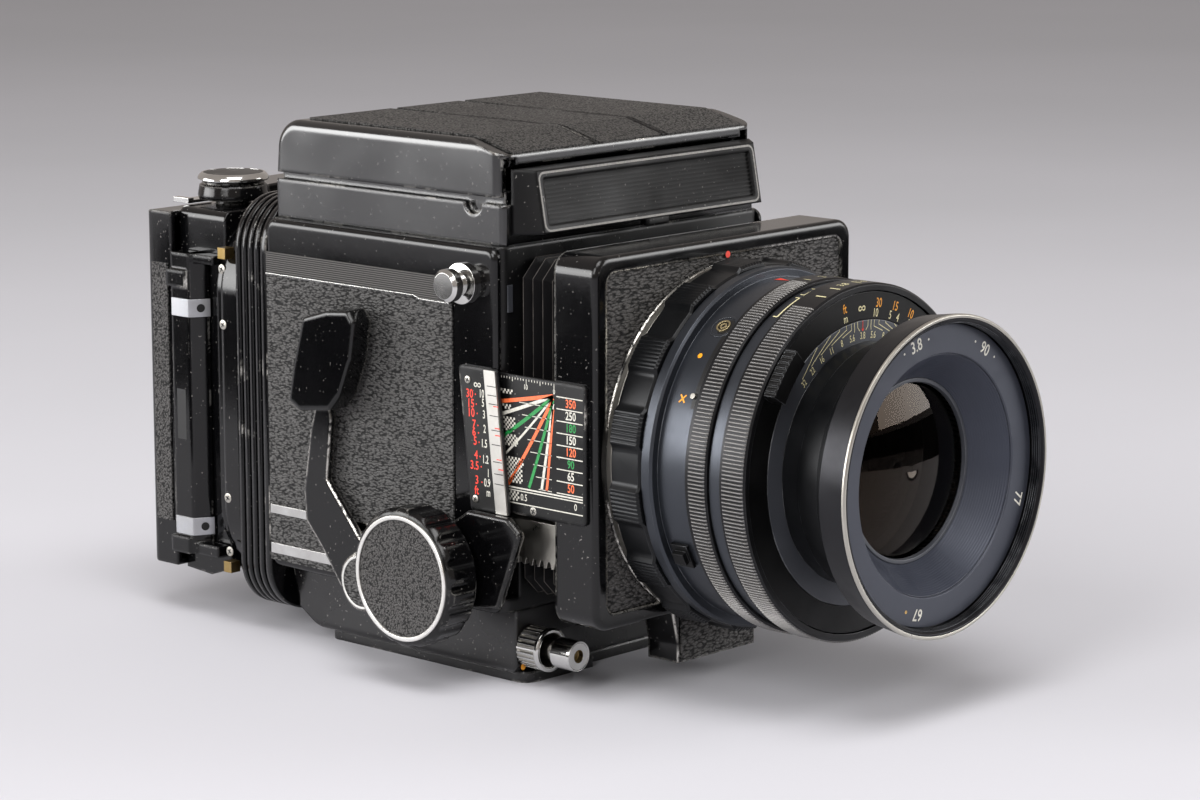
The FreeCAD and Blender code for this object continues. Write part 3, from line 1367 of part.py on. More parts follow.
# Insert that carries both spools, the rollers and the sprung pressure plate
def make_film_insert():
    y0 = adapter_rear + 3.4
    side = insert_half - insert_side
    low = axis_z - spool_reach - 8
    high = axis_z + spool_reach + 7
    plate = box(-gate_half_x - 3, gate_half_x + 3, y0, y0 + 1.2, axis_z - 33, axis_z + 33)
    pieces = []
    for sign in (-1, 1):
        x0, x1 = sorted((sign * side, sign * insert_half))
        pieces.append(box(x0, x1, y0, spool_y + 4, low, high))
        for end in (-1, 1):
            p0, p1 = sorted((sign * (spool_half - 2.5), sign * (side + 0.5)))
            pieces.append(rod_x(2.2, p0, p1, spool_y, axis_z + end * spool_reach))
    for end in (-1, 1):
        roller_z = axis_z + end * (gate_half_z + 3.75)
        pieces.append(rod_x(1.3, -spool_half + 1.5, spool_half - 1.5, y0 + 1.2, roller_z))
        pieces.append(rod_x(0.5, -insert_half + 0.5, insert_half - 0.5, y0 + 1.2, roller_z))
    pieces.append(box(-side - 0.5, side + 0.5, y0 + 8.4, y0 + 9.6, axis_z - 20, axis_z + 20))
    post = rod_y(3.0, y0 + 1.0, y0 + 8.8)
    return plate.fuse(pieces + [post])


def make_spool(end):
    middle = axis_z + end * spool_reach
    web = spool_half - 1.2
    floor = spool_half - 3.0
    profile = [(-spool_half, spool_socket), (-spool_half, spool_flange), (-web, spool_flange), (-web, spool_core),
               (web, spool_core), (web, spool_flange), (spool_half, spool_flange), (spool_half, spool_socket),
               (floor, spool_socket), (floor, 0), (-floor, 0), (-floor, spool_socket)]
    return turned_x(profile, spool_y, middle)


# Rear cover, a shallow shell hinged at its lower edge
def make_magazine_cover():
    block = box(-cover_half, cover_half, cover_front, cover_rear, cover_bottom, cover_top)
    rear_rim = [edge for edge in block.Edges if edge.BoundBox.YMin > cover_rear - 0.1]
    block = block.makeFillet(cover_corner, rear_rim)
    hollow = box(-cover_half + cover_wall, cover_half - cover_wall, cover_front - 1, cover_rear - cover_wall,
                 cover_bottom + cover_wall, cover_top - cover_wall)
    block = block.cut(hollow)
    knuckle = rod_x(cover_knuckle, -knuckle_half, knuckle_half, cover_pivot_y, cover_pivot_z)
    web = box(-knuckle_half, knuckle_half, cover_pivot_y, cover_pivot_y + cover_knuckle,
              cover_pivot_z, cover_bottom + 0.5)
    block = block.fuse([knuckle, web])
    reach = knuckle_half + 1
    return block.cut(rod_x(cover_pin + running, -reach, reach, cover_pivot_y, cover_pivot_z))


def make_magazine_leather():
    y0 = cover_front + 1.4
    y1 = cover_rear - 3.2
    low = cover_bottom + 12.6
    high = cover_top - 14.4
    pieces = []
    for side in (-1, 1):
        x0, x1 = sorted((side * cover_half, side * (cover_half + leather)))
        pieces.append(box(x0, x1, y0, y1, low, high))
    pieces.append(slab_y(rectangle(cover_half - 4.0, cover_bottom + 4.0, cover_top - 4.0),
                         cover_rear, cover_rear + leather, 2.0))
    return Part.makeCompound(pieces)


def make_cover_latch():
    z0 = magazine_top + 0.4
    left = latch_x - latch_half
    right = latch_x + latch_half
    plate = box(left, right, latch_pivot_y - latch_length, latch_pivot_y, z0, z0 + 1.4)
    barrel = rod_x(1.6, left, right, latch_pivot_y, z0 + 0.2)
    pin = rod_x(latch_pin, left - 2, right + 2, latch_pivot_y, z0 + 0.2)
    return plate.fuse([barrel, pin])


# Ears on the cover that carry the latch
def latch_ears():
    z0 = magazine_top + 0.6
    reach = latch_half + 3
    bore = rod_x(latch_pin + running, latch_x - reach, latch_x + reach, latch_pivot_y, z0)
    ears = []
    for side in (-1, 1):
        inner = latch_half + seat
        low, high = sorted((latch_x + side * inner, latch_x + side * (inner + 2.0)))
        ears.append(box(low, high, latch_pivot_y - 1.8, latch_pivot_y + 1.8,
                        cover_top - 0.5, z0 + 1.6).cut(bore))
    return ears


# Film wind lever with a raised thumb tip
def make_wind_lever():
    z0 = magazine_top + 1.2 + seat
    hub = turned_z([(z0, 3.0 + running), (z0, wind_radius + 0.6), (z0 + 1.0, wind_radius + 0.9),
                    (z0 + 3.8, wind_radius + 0.4), (z0 + 4.4, wind_radius - 0.4), (z0 + 6.0, wind_radius - 0.4),
                    (z0 + 6.4, wind_radius - 0.8), (z0 + 6.4, 0), (z0 + 1.8, 0), (z0 + 1.8, 3.0 + running)],
                   wind_x, wind_y)
    arm = slab_z(about(wind_x, wind_y, [(4.5, -6.5), (24, -2.5), (38, 1), (40, 8), (30, 9.5), (4.5, 7.5)]),
                 z0 + 1.2, z0 + 3.4, 1.2)
    tip = slab_z(about(wind_x, wind_y, [(31, 0.5), (38, 1.5), (40, 8), (32, 9)]),
                 z0 + 3.0, z0 + 7.0, 1.0)
    return hub.fuse([arm, tip])


builders = {
    "body_casting": make_body_casting,
    "right_side_cover": lambda: make_side_cover(True),
    "left_side_cover": lambda: make_side_cover(False),
    "side_leather": make_side_leather,
    "base_housing": make_base_housing,
    "base_plate": make_base_plate,
    "tripod_bush": make_tripod_bush,
    "strap_lugs": make_strap_lugs,
    "distance_panel": make_distance_panel,
    "distance_bar": make_distance_bar,
    "accessory_shoe": make_accessory_shoe,
    "rear_frame": make_rear_frame,
    "front_standard": make_front_standard,
    "standard_leather": make_standard_leather,
    "focus_rails": make_focus_rails,
    "focus_pinions": make_focus_pinions,
    "focus_shaft": make_focus_shaft,
    "right_focus_knob": make_focus_knob,
    "left_focus_knob": lambda: mirrored(make_focus_knob()),
    "knob_inlays": make_knob_inlays,
    "focus_lock_lever": make_focus_lock_lever,
    "cocking_lever": make_cocking_lever,
    "chart_plate": make_chart_plate,
    "bellows": make_bellows,
    "release_button": make_release_button,
    "release_collar": make_release_collar,
    "mirror": make_mirror,
    "focusing_screen": make_focusing_screen,
    "hood_base": make_hood_base,
    "hood_nameplate": make_hood_nameplate,
    "hood_lid": make_hood_lid,
    "lid_leather": make_lid_leather,
    "hood_left_panel": make_side_panel,
    "hood_right_panel": lambda: mirrored(make_side_panel()),
    "hood_rear_panel": make_rear_panel,
    "magnifier": make_magnifier,
    "lens_mount_ring": make_lens_mount_ring,
    "lens_lock_ring": make_lens_lock_ring,
    "lens_barrel": make_lens_barrel,
    "speed_ring": make_speed_ring,
    "aperture_ring": make_aperture_ring,
    "distance_ring": make_distance_ring,
    "front_barrel": make_front_barrel,
    "front_rim": make_front_rim,
    "lens_glasses": make_lens_glasses,
    "rear_cell": make_rear_cell,
    "leaf_blades": make_leaf_blades,
    "sync_lever": make_sync_lever,
    "revolving_adapter": make_revolving_adapter,
    "left_lock_bar": make_lock_bar,
    "right_lock_bar": lambda: mirrored(make_lock_bar()),
    "magazine_body": make_magazine_body,
    "dark_slide": make_dark_slide,
    "film_insert": make_film_insert,
    "supply_spool": lambda: make_spool(-1),
    "takeup_spool": lambda: make_spool(1),
    "magazine_cover": lambda: make_magazine_cover().fuse(latch_ears()),
    "magazine_leather": make_magazine_leather,
    "cover_latch": make_cover_latch,
    "wind_lever": make_wind_lever,
}

os.makedirs("parts", exist_ok=True)
for name, build in builders.items():
    shape = build()
    shape.exportStep("parts/%s.step" % name)
    box_size = shape.BoundBox
    print("%-18s solids %d valid %s volume %.0f  x %.1f %.1f  y %.1f %.1f  z %.1f %.1f" % (
        name, len(shape.Solids), shape.isValid(), shape.Volume, box_size.XMin, box_size.XMax,
        box_size.YMin, box_size.YMax, box_size.ZMin, box_size.ZMax))
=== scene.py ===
# Medium format film camera: finishes, print, knurls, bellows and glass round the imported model.
import bpy
import bmesh
import math
from mathutils import Matrix, Vector


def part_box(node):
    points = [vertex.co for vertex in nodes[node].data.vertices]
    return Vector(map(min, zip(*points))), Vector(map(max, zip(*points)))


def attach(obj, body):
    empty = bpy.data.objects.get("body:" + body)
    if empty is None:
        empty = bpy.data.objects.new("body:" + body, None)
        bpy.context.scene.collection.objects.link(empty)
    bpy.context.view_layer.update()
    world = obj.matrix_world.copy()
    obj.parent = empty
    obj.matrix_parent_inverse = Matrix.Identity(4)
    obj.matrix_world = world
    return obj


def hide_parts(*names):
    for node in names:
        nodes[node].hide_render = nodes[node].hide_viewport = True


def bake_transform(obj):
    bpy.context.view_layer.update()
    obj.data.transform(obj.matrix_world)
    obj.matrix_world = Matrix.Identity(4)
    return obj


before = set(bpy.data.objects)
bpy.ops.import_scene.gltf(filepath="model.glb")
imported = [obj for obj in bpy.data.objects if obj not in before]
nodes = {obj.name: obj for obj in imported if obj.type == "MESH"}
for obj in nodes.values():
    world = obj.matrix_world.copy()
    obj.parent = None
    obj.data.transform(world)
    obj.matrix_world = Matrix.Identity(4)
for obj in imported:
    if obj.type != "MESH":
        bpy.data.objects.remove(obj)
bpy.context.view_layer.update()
mm = 0.001


def linearColour(hexCode):
    values = []
    for start in (1, 3, 5):
        part = int(hexCode[start:start + 2], 16) / 255
        values.append(part / 12.92 if part <= 0.04045 else ((part + 0.055) / 1.055) ** 2.4)
    return (*values, 1.0)


# One node with its settings and links: inputs by name or in their order, each a value, a hex
# colour or the socket that feeds it; the number of an output gives that socket back
def addNode(tree, kind, settings=None, inputs=None, output=None):
    node = tree.nodes.new(kind)
    for name, value in (settings or {}).items():
        setattr(node, name, value)
    for name, value in inputs.items() if isinstance(inputs, dict) else enumerate(inputs or ()):
        if isinstance(value, bpy.types.NodeSocket):
            tree.links.new(value, node.inputs[name])
        else:
            node.inputs[name].default_value = linearColour(value) if isinstance(value, str) else value
    return node if output is None else node.outputs[output]


def newMaterial(name, colour, metallic, roughness, extra=None):
    material = bpy.data.materials.new(name)
    material.use_nodes = True
    shader = material.node_tree.nodes["Principled BSDF"]
    values = {"Base Color": linearColour(colour), "Metallic": metallic, "Roughness": roughness, **(extra or {})}
    for socket, value in values.items():
        shader.inputs[socket].default_value = value
    return material, material.node_tree, shader


def feed(tree, shader, colour, roughness=None, normal=None, metallic=None):
    for socket, value in (("Base Color", colour), ("Roughness", roughness), ("Normal", normal),
                          ("Metallic", metallic)):
        if value is not None:
            tree.links.new(value, shader.inputs[socket])


def objectPoint(tree, scale=(1.0, 1.0, 1.0), turn=(0.0, 0.0, 0.0)):
    place = addNode(tree, "ShaderNodeTexCoord", {}, {}, "Object")
    return addNode(tree, "ShaderNodeMapping", {}, {"Vector": place, "Scale": scale, "Rotation": turn}, 0)


# How far the surface turns within the radius: 0 on a flat, near 1 on a sharp edge
def edgeShare(tree, radius):
    rounded = addNode(tree, "ShaderNodeBevel", {"samples": 8}, {"Radius": radius}, 0)
    flat = addNode(tree, "ShaderNodeNewGeometry", {}, {}, "Normal")
    dot = addNode(tree, "ShaderNodeVectorMath", {"operation": "DOT_PRODUCT"}, (rounded, flat), "Value")
    return addNode(tree, "ShaderNodeMapRange", {}, (dot, 0.985, 0.84), 0), rounded


# Baked gloss enamel on die-cast metal: nearly black, a slight orange peel, specks of
# dust, and rubbed to bare metal on its sharpest edges
def glossEnamel(name, colour="#060607", wear=0.6, roughness=0.1, shine=0.4):
    material, tree, shader = newMaterial(name, colour, 0.0, roughness, {"Specular IOR Level": shine})
    point = objectPoint(tree)
    edge, rounded = edgeShare(tree, 1.3 * mm)
    patches, nicks, smear, grit, peel = (
        addNode(tree, "ShaderNodeTexNoise", {}, {"Vector": point, "Scale": scale, "Detail": detail,
                                                 "Roughness": rough, "Distortion": distortion}, 0)
        for scale, detail, rough, distortion in ((75, 4.0, 0.62, 0.0), (700, 3.0, 0.7, 0.0), (38, 3.0, 0.55, 0.4),
                                                 (1500, 0.0, 0.5, 0.0), (300, 2.0, 0.5, 0.0)))
    bare, chipped, sharp, dust, gloss = (addNode(tree, "ShaderNodeMapRange", {}, values, 0) for values in (
        (patches, 0.60 - 0.12 * wear, 0.68 - 0.08 * wear), (nicks, 0.38, 0.52),
        (edge, 0.25 - 0.08 * wear, 0.7 - 0.17 * wear), (grit, 0.803, 0.82),
        (smear, 0.3, 0.7, roughness * 0.75, roughness * 1.45)))
    worn = addNode(tree, "ShaderNodeMath", {"operation": "MULTIPLY"}, (bare, chipped), 0)
    worn = addNode(tree, "ShaderNodeMath", {"operation": "MULTIPLY"}, (worn, sharp), 0)
    dust = addNode(tree, "ShaderNodeMath", {"operation": "MULTIPLY"}, (dust, 0.5), 0)
    painted = addNode(tree, "ShaderNodeMix", {"data_type": "RGBA"}, {0: dust, 6: colour, 7: "#8d8a86"}, 2)
    shown = addNode(tree, "ShaderNodeMix", {"data_type": "RGBA"}, {0: worn, 6: painted, 7: "#c2bfb9"}, 2)
    bump = addNode(tree, "ShaderNodeBump", {}, {"Height": peel, "Distance": 0.006 * mm, "Strength": 1.0,
                                                "Normal": rounded}, 0)
    feed(tree, shader, shown, gloss, bump, worn)
    return material


# Embossed leatherette: wrinkled pebbles of vinyl as bump, with painted light: the valleys between them painted near
# black as shade and the tops painted grey as a highlight, paler still in random rubbed patches
def leatherette(name, grain, height, turn=(0.0, 0.0, 0.0), stretch=(1.0, 1.0, 1.0), top="#343332"):
    material, tree, shader = newMaterial(name, top, 0.0, 0.5, {"Specular IOR Level": 0.4})
    point = objectPoint(tree, stretch, turn)
    size = grain * mm
    warp = addNode(tree, "ShaderNodeTexNoise", {}, {"Vector": point, "Scale": 0.55 / size, "Detail": 2.0}, "Color")
    pushed = addNode(tree, "ShaderNodeVectorMath", {"operation": "MULTIPLY_ADD"}, (warp, (1.1 * size,) * 3, point), 0)
    cells = addNode(tree, "ShaderNodeTexVoronoi", {"feature": "SMOOTH_F1"},
                    {"Vector": pushed, "Scale": 1.0 / size, "Smoothness": 0.25}, "Distance")
    pebble = addNode(tree, "ShaderNodeMapRange", {}, (cells, 0.28, 0.80, 1.0, 0.0), 0)
    wrinkles = addNode(tree, "ShaderNodeTexNoise", {},
                       {"Vector": pushed, "Scale": 3.2 / size, "Detail": 3.0, "Roughness": 0.6}, 0)
    relief = addNode(tree, "ShaderNodeMath", {"operation": "MULTIPLY_ADD"}, (wrinkles, 0.3, pebble), 0)
    rubbed = addNode(tree, "ShaderNodeTexNoise", {}, {"Vector": point, "Scale": 60, "Detail": 3.0, "Roughness": 0.5}, 0)
    sheen, paintedLightShare, dull = (addNode(tree, "ShaderNodeMapRange", {}, values, 0) for values in (
        (rubbed, 0.35, 0.7, 0.0, 0.45), (pebble, 0.12, 0.7), (pebble, 0.1, 0.9, 0.75, 0.38)))
    # Painted highlight on the pebble tops and painted shade in the valleys between them
    paintedTopHighlight = addNode(tree, "ShaderNodeMix", {"data_type": "RGBA"}, {0: sheen, 6: top, 7: "#4a4846"}, 2)
    shown = addNode(tree, "ShaderNodeMix", {"data_type": "RGBA"}, {0: paintedLightShare, 6: "#080808", 7: paintedTopHighlight}, 2)
    bump = addNode(tree, "ShaderNodeBump", {}, {"Height": relief, "Distance": height * mm, "Strength": 1.0}, 0)
    feed(tree, shader, shown, dull, bump)
    return material


# Cylinder coordinates round the lens axis: position along it and distance from it
def turnedPoint(tree):
    place = addNode(tree, "ShaderNodeTexCoord", {}, {}, "Object")
    centred = addNode(tree, "ShaderNodeMapping", {}, {"Vector": place, "Location": (0, 0, -axisZ)}, 0)
    parts = addNode(tree, "ShaderNodeSeparateXYZ", {}, (centred,))
    flat = addNode(tree, "ShaderNodeCombineXYZ", {}, {"X": parts.outputs["X"], "Z": parts.outputs["Z"]}, 0)
    away = addNode(tree, "ShaderNodeVectorMath", {"operation": "LENGTH"}, (flat,), "Value")
    return addNode(tree, "ShaderNodeCombineXYZ", {}, {"X": parts.outputs["Y"], "Y": away}, 0)


# Turned or plated metal: fine tool lines as bump, and its rubbed or hazed share towards a paler grey
def fineMetal(name, colour, metallic, roughness, lines, marks, edgeRadius, bump, rubbed, pale, gloss):
    material, tree, shader = newMaterial(name, colour, metallic, roughness)
    fine, coarse = (addNode(tree, "ShaderNodeTexNoise", {}, {"Vector": point(tree), "Scale": scale, "Detail": detail,
                                                             "Roughness": rough}, 0)
                    for point, scale, detail, rough in (lines, marks))
    edge, rounded = edgeShare(tree, edgeRadius * mm)
    share = addNode(tree, "ShaderNodeMapRange", {}, (coarse, *rubbed[:4]), 0)
    if len(rubbed) > 4:
        share = addNode(tree, "ShaderNodeMath", {"operation": "MULTIPLY"}, (edge, share), 0)
    dull = addNode(tree, "ShaderNodeMapRange", {}, (coarse, 0.3, 0.7, roughness * gloss[0], roughness * gloss[1]), 0)
    shown = addNode(tree, "ShaderNodeMix", {"data_type": "RGBA"}, {0: share, 6: colour, 7: pale}, 2)
    normal = addNode(tree, "ShaderNodeBump", {}, {"Height": fine, "Distance": bump * mm, "Strength": 1.0,
                                                  "Normal": rounded}, 0)
    feed(tree, shader, shown, dull, normal)
    return material


# Anodised aluminium turned on a lathe: tool lines run round the axis and stretch the highlight
def turnedAnodised(name, colour, roughness, lineBump=0.0015, metallic=0.55):
    return fineMetal(name, colour, metallic, roughness, (turnedPoint, 5200, 3.0, 0.7), (objectPoint, 130, 4.0, 0.6),
                     0.25, lineBump, (0.45, 0.6, 0.0, 0.55, "on edges"), "#8d8f93", (0.85, 1.25))


# Bright metal, plated or bare, with fine scratches
def brightMetal(name, colour, roughness, streak=(1.0, 1.0, 1.0)):
    return fineMetal(name, colour, 1.0, roughness, (lambda tree: objectPoint(tree, streak), 1500, 3.0, 0.65),
                     (objectPoint, 160, 3.0, 0.6), 0.2, 0.0012, (0.3, 0.75, 0.0, 0.35), "#8e8a84", (0.8, 1.4))


# Printed or filled paint: matt, a little uneven
def printPaint(name, colour, shade):
    material, tree, shader = newMaterial(name, colour, 0.0, 0.45)
    grain = addNode(tree, "ShaderNodeTexNoise", {},
                    {"Vector": objectPoint(tree), "Scale": 1400, "Detail": 2.0, "Roughness": 0.6}, 0)
    share = addNode(tree, "ShaderNodeMapRange", {}, (grain, 0.4, 0.7, 0.0, 0.6), 0)
    feed(tree, shader, addNode(tree, "ShaderNodeMix", {"data_type": "RGBA"}, {0: share, 6: colour, 7: shade}, 2))
    return material


# Rubberised cloth of the bellows: dull black with a faint thread and pale dust on the folds
def wornCloth(name, colour="#09080a"):
    material, tree, shader = newMaterial(name, colour, 0.0, 0.6, {"Specular IOR Level": 0.22})
    point = objectPoint(tree)
    edge, rounded = edgeShare(tree, 0.35 * mm)
    cloud, thread = (addNode(tree, "ShaderNodeTexNoise", {}, {"Vector": point, "Scale": scale, "Detail": detail,
                                                              "Roughness": rough}, 0)
                     for scale, detail, rough in ((220, 3.0, 0.6), (3200, 2.0, 0.5)))
    share = addNode(tree, "ShaderNodeMapRange", {}, (cloud, 0.3, 0.7, 0.15, 0.8), 0)
    dust = addNode(tree, "ShaderNodeMath", {"operation": "MULTIPLY"}, (edge, share), 0)
    shown = addNode(tree, "ShaderNodeMix", {"data_type": "RGBA"}, {0: dust, 6: colour, 7: "#6e6863"}, 2)
    bump = addNode(tree, "ShaderNodeBump", {}, {"Height": thread, "Distance": 0.02 * mm, "Strength": 1.0,
                                                "Normal": rounded}, 0)
    feed(tree, shader, shown, None, bump)
    return material


# Charcoal plate with fine level ribs as bump; its colour is painted pale grey on each crest as a highlight and near
# black in each groove as shade
def ribbedPlastic(name, pitch=0.56):
    material, tree, shader = newMaterial(name, "#2b2a2a", 0.0, 0.7, {"Specular IOR Level": 0.3})
    height = addNode(tree, "ShaderNodeSeparateXYZ", {}, (objectPoint(tree),), "Z")
    phase = addNode(tree, "ShaderNodeMath", {"operation": "MULTIPLY"}, (height, 2 * math.pi / (pitch * mm)), 0)
    wave = addNode(tree, "ShaderNodeMath", {"operation": "SINE"}, (phase,), 0)
    ridge = addNode(tree, "ShaderNodeMapRange", {}, (wave, -1.0, 1.0), 0)
    # Painted highlight on the rib crests, painted shade in the grooves
    shown = addNode(tree, "ShaderNodeMix", {"data_type": "RGBA"}, {0: ridge, 6: "#121212", 7: "#5a5856"}, 2)
    bump = addNode(tree, "ShaderNodeBump", {}, {"Height": ridge, "Distance": 0.08 * mm, "Strength": 1.0}, 0)
    feed(tree, shader, shown, None, bump)
    return material


# Coated optical glass: colour in the reflection comes from the coating, as a tint on the specular
def coatedGlass(name, tint):
    return newMaterial(name, "#77736f", 0.0, 0.0, {
        "IOR": 1.3, "Transmission Weight": 1.0, "Specular Tint": linearColour(tint)})[0]


rimLow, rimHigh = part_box("front_rim")
axisZ = (rimLow.z + rimHigh.z) / 2

enamel = glossEnamel("blackGlossEnamel")
hoodEnamel = glossEnamel("hoodGlossEnamel", wear=0.8, roughness=0.13, shine=1.0)
baseEnamel = glossEnamel("baseEnamel", "#0c0b0c", wear=0.4, roughness=0.24, shine=0.6)
enamelWorn = glossEnamel("blackGlossEnamelWorn", wear=2.2)
enamelFresh = glossEnamel("blackGlossEnamelFresh", wear=0.1)
enamelSatin = glossEnamel("blackSatinEnamel", "#09090a", 0.3, 0.34)
plateEnamel = glossEnamel("plateEnamel", wear=-1.5, roughness=0.42, shine=0.22)
dialBlack = glossEnamel("dialEnamel", "#0a0a0b", 0.2, 0.3, 0.3)
bodyLeather = leatherette("bodyLeatherette", 0.62, 0.42, (0.3, 0.0, 0.0), (1.0, 0.55, 1.2), "#525150")
frontLeather = leatherette("frontLeatherette", 0.8, 0.5, (0.0, -0.3, 0.0), (0.55, 1.0, 1.2), "#4e4c4b")
hoodLeather = leatherette("hoodLeatherette", 0.56, 0.3, top="#3c3a38")
backLeather = leatherette("backLeatherette", 0.6, 0.4, top="#4e4c4b")
inlayLeather = leatherette("knobLeatherette", 0.52, 0.3, top="#4c4a49")
lensBlue = turnedAnodised("blueBlackAnodised", "#1b1d21", 0.3, metallic=0.75)
lensBlack = turnedAnodised("blackAnodised", "#141517", 0.34)
lensDark = turnedAnodised("deepBlackAnodised", "#060607", 0.45)
rimGrey = turnedAnodised("rimAnodised", "#222225", 0.32, metallic=0.8)
ringSlate = turnedAnodised("slateAnodised", "#3f424c", 0.4, 0.001, 0.4)
knurlGrey = turnedAnodised("settingRingAnodised", "#161618", 0.36)
knurlTips = turnedAnodised("knurledAnodised", "#767472", 0.36, 0.0008, 0.7)
depthGrey = turnedAnodised("greyAnodised", "#4a4c52", 0.42, 0.001, 0.4)
funnelBlue = turnedAnodised("funnelAnodised", "#363a46", 0.42, 0.001, 0.35)
syncBlue = turnedAnodised("syncAnodised", "#3c3f45", 0.33, 0.001, 0.75)
chrome = brightMetal("brightChrome", "#d2d2d0", 0.1)
satinSteel = brightMetal("satinSteel", "#b9b6ae", 0.34, (1.0, 0.08, 1.0))
brushedBar = brightMetal("brushedAluminium", "#c9c7c2", 0.4, (1.0, 0.1, 1.0))
brass = brightMetal("brass", "#8f7745", 0.36)
paleBrass = brightMetal("paleBrass", "#c9b98c", 0.28)
whiteRing = brightMetal("plainPolished", "#efeeea", 0.3)
satinPale = brightMetal("satinPlate", "#b4b6bb", 0.36, (1.0, 1.0, 0.1))
glassFront = coatedGlass("coatedGlassWarm", "#c9a98a")
bellowsCloth = wornCloth("bellowsCloth")
ribbedPlate = ribbedPlastic("ribbedCharcoal")
# The near-black paint (#040405) stands in for shade in recesses, slots and screw crosses
paints = {paintName: printPaint(paintName, colour, shade) for paintName, colour, shade in (
    ("whitePaint", "#d9d6cb", "#a9a69c"), ("creamPaint", "#e6dcae", "#bfb48a"), ("orangePaint", "#f0a01c", "#c47a10"),
    ("redPaint", "#ee3a22", "#cc2a1a"), ("coralPaint", "#f2713f", "#cc5a30"), ("greenPaint", "#1f8f45", "#176e36"),
    ("blackPaint", "#151515", "#050505"), ("darkPaint", "#040405", "#010101"), ("goldPaint", "#c9a25a", "#8f6f35"),
    ("rubbedPaint", "#77736e", "#4b4844"))}

finishes = (
    (enamel, "right_side_cover left_side_cover right_focus_knob left_focus_knob left_lock_bar right_lock_bar "
             "magazine_body magazine_cover wind_lever"),
    (enamelSatin, "body_casting distance_panel chart_plate bellows focusing_screen hood_left_panel hood_right_panel "
                  "hood_rear_panel magnifier film_insert supply_spool takeup_spool"),
    (enamelWorn, "front_standard focus_lock_lever cocking_lever"), (enamelFresh, "rear_frame revolving_adapter"),
    (baseEnamel, "base_housing base_plate"), (hoodEnamel, "hood_base hood_lid"), (plateEnamel, "hood_nameplate"),
    (bodyLeather, "side_leather"), (frontLeather, "standard_leather"), (hoodLeather, "lid_leather"),
    (backLeather, "magazine_leather"), (inlayLeather, "knob_inlays"),
    (satinSteel, "tripod_bush focus_rails focus_pinions focus_shaft release_collar lens_mount_ring dark_slide"),
    (chrome, "strap_lugs accessory_shoe release_button mirror cover_latch"), (brushedBar, "distance_bar"),
    (lensBlack, "lens_lock_ring front_barrel"), (syncBlue, "lens_barrel"), (knurlGrey, "speed_ring aperture_ring"),
    (lensDark, "distance_ring rear_cell leaf_blades sync_lever"), (rimGrey, "front_rim"),
    (glassFront, "lens_glasses"),
)
for finish, nodeNames in finishes:
    for nodeName in nodeNames.split():
        mesh = nodes[nodeName].data
        mesh.materials.clear()
        mesh.materials.append(finish)
print("finishes on the packed nodes")


# Places round the lens: angle in degrees from the top towards the camera's right side
def lensPlace(radius, angle, along):
    turn = math.radians(angle)
    return Vector((-radius * math.sin(turn), along, axisZ / mm + radius * math.cos(turn)))


def tangentAt(angle):
    turn = math.radians(angle)
    return Vector((math.cos(turn), 0, math.sin(turn)))


def outwardAt(angle):
    turn = math.radians(angle)
    return Vector((-math.sin(turn), 0, math.cos(turn)))


def inScene(name, data):
    made = bpy.data.objects.new(name, data)
    bpy.context.scene.collection.objects.link(made)
    return made


# Mesh object in metres from (points in millimetres, faces) parts
def newPiece(name, parts, finish, body, smooth=False, recalculate=True):
    points = []
    faces = []
    for partPoints, partFaces in parts:
        start = len(points)
        points += [tuple(c * mm for c in point) for point in partPoints]
        faces += [tuple(start + index for index in face) for face in partFaces]
    mesh = bpy.data.meshes.new(name)
    mesh.from_pydata(points, [], faces)
    mesh.validate()
    if recalculate:
        shaped = bmesh.new()
        shaped.from_mesh(mesh)
        bmesh.ops.recalc_face_normals(shaped, faces=shaped.faces)
        shaped.to_mesh(mesh)
        shaped.free()
    if smooth:
        mesh.shade_smooth()
        mesh.set_sharp_from_angle(angle=math.radians(32))
    mesh.materials.append(finish)
    made = inScene(name, mesh)
    if body:
        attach(made, body)
    return made


def boxPart(x0, x1, y0, y1, z0, z1):
    points = [(x, y, z) for x in (x0, x1) for y in (y0, y1) for z in (z0, z1)]
    return points, [(0, 1, 3, 2), (4, 6, 7, 5), (0, 4, 5, 1), (2, 3, 7, 6), (0, 2, 6, 4), (1, 5, 7, 3)]


# Faces between closed rings of points, each ring with the same count
def ringFaces(levels, count, closed=False, start=0):
    faces = []
    for level in range(levels if closed else levels - 1):
        here = start + level * count
        there = start + (level + 1) % levels * count
        for n in range(count):
            after = (n + 1) % count
            faces.append((here + n, here + after, there + after, there + n))
    return faces


# Closed profile of (along, radius) pairs turned about the lens axis or another line along Y
def turnedPart(profile, steps, centre=None):
    middle = centre or (0.0, axisZ / mm)
    points = []
    for step in range(steps):
        turn = 2 * math.pi * step / steps
        points += [(middle[0] + radius * math.sin(turn), along, middle[1] + radius * math.cos(turn))
                   for along, radius in profile]
    return points, ringFaces(steps, len(profile), True)


# The same about a line along X: profile of (x, radius) pairs, centre (y, z)
def turnedPartX(profile, steps, centre):
    points, faces = turnedPart(profile, steps, (0.0, 0.0))
    return [(along, centre[0] + side, centre[1] + up) for side, along, up in points], faces


# The same about a line along Z: profile of (z, radius) pairs, centre (x, y)
def turnedPartZ(profile, steps, centre):
    points, faces = turnedPart(profile, steps, (0.0, 0.0))
    return [(centre[0] + side, centre[1] + up, along) for side, along, up in points], faces


def shifted(profile, along, radius=0.0):
    return [(along + a, radius + r) for a, r in profile]


# Smooth turned piece on the lens
def lensPiece(name, profile, steps, finish):
    newPiece(name, [turnedPart(profile, steps)], finish, "focus_slide", True)


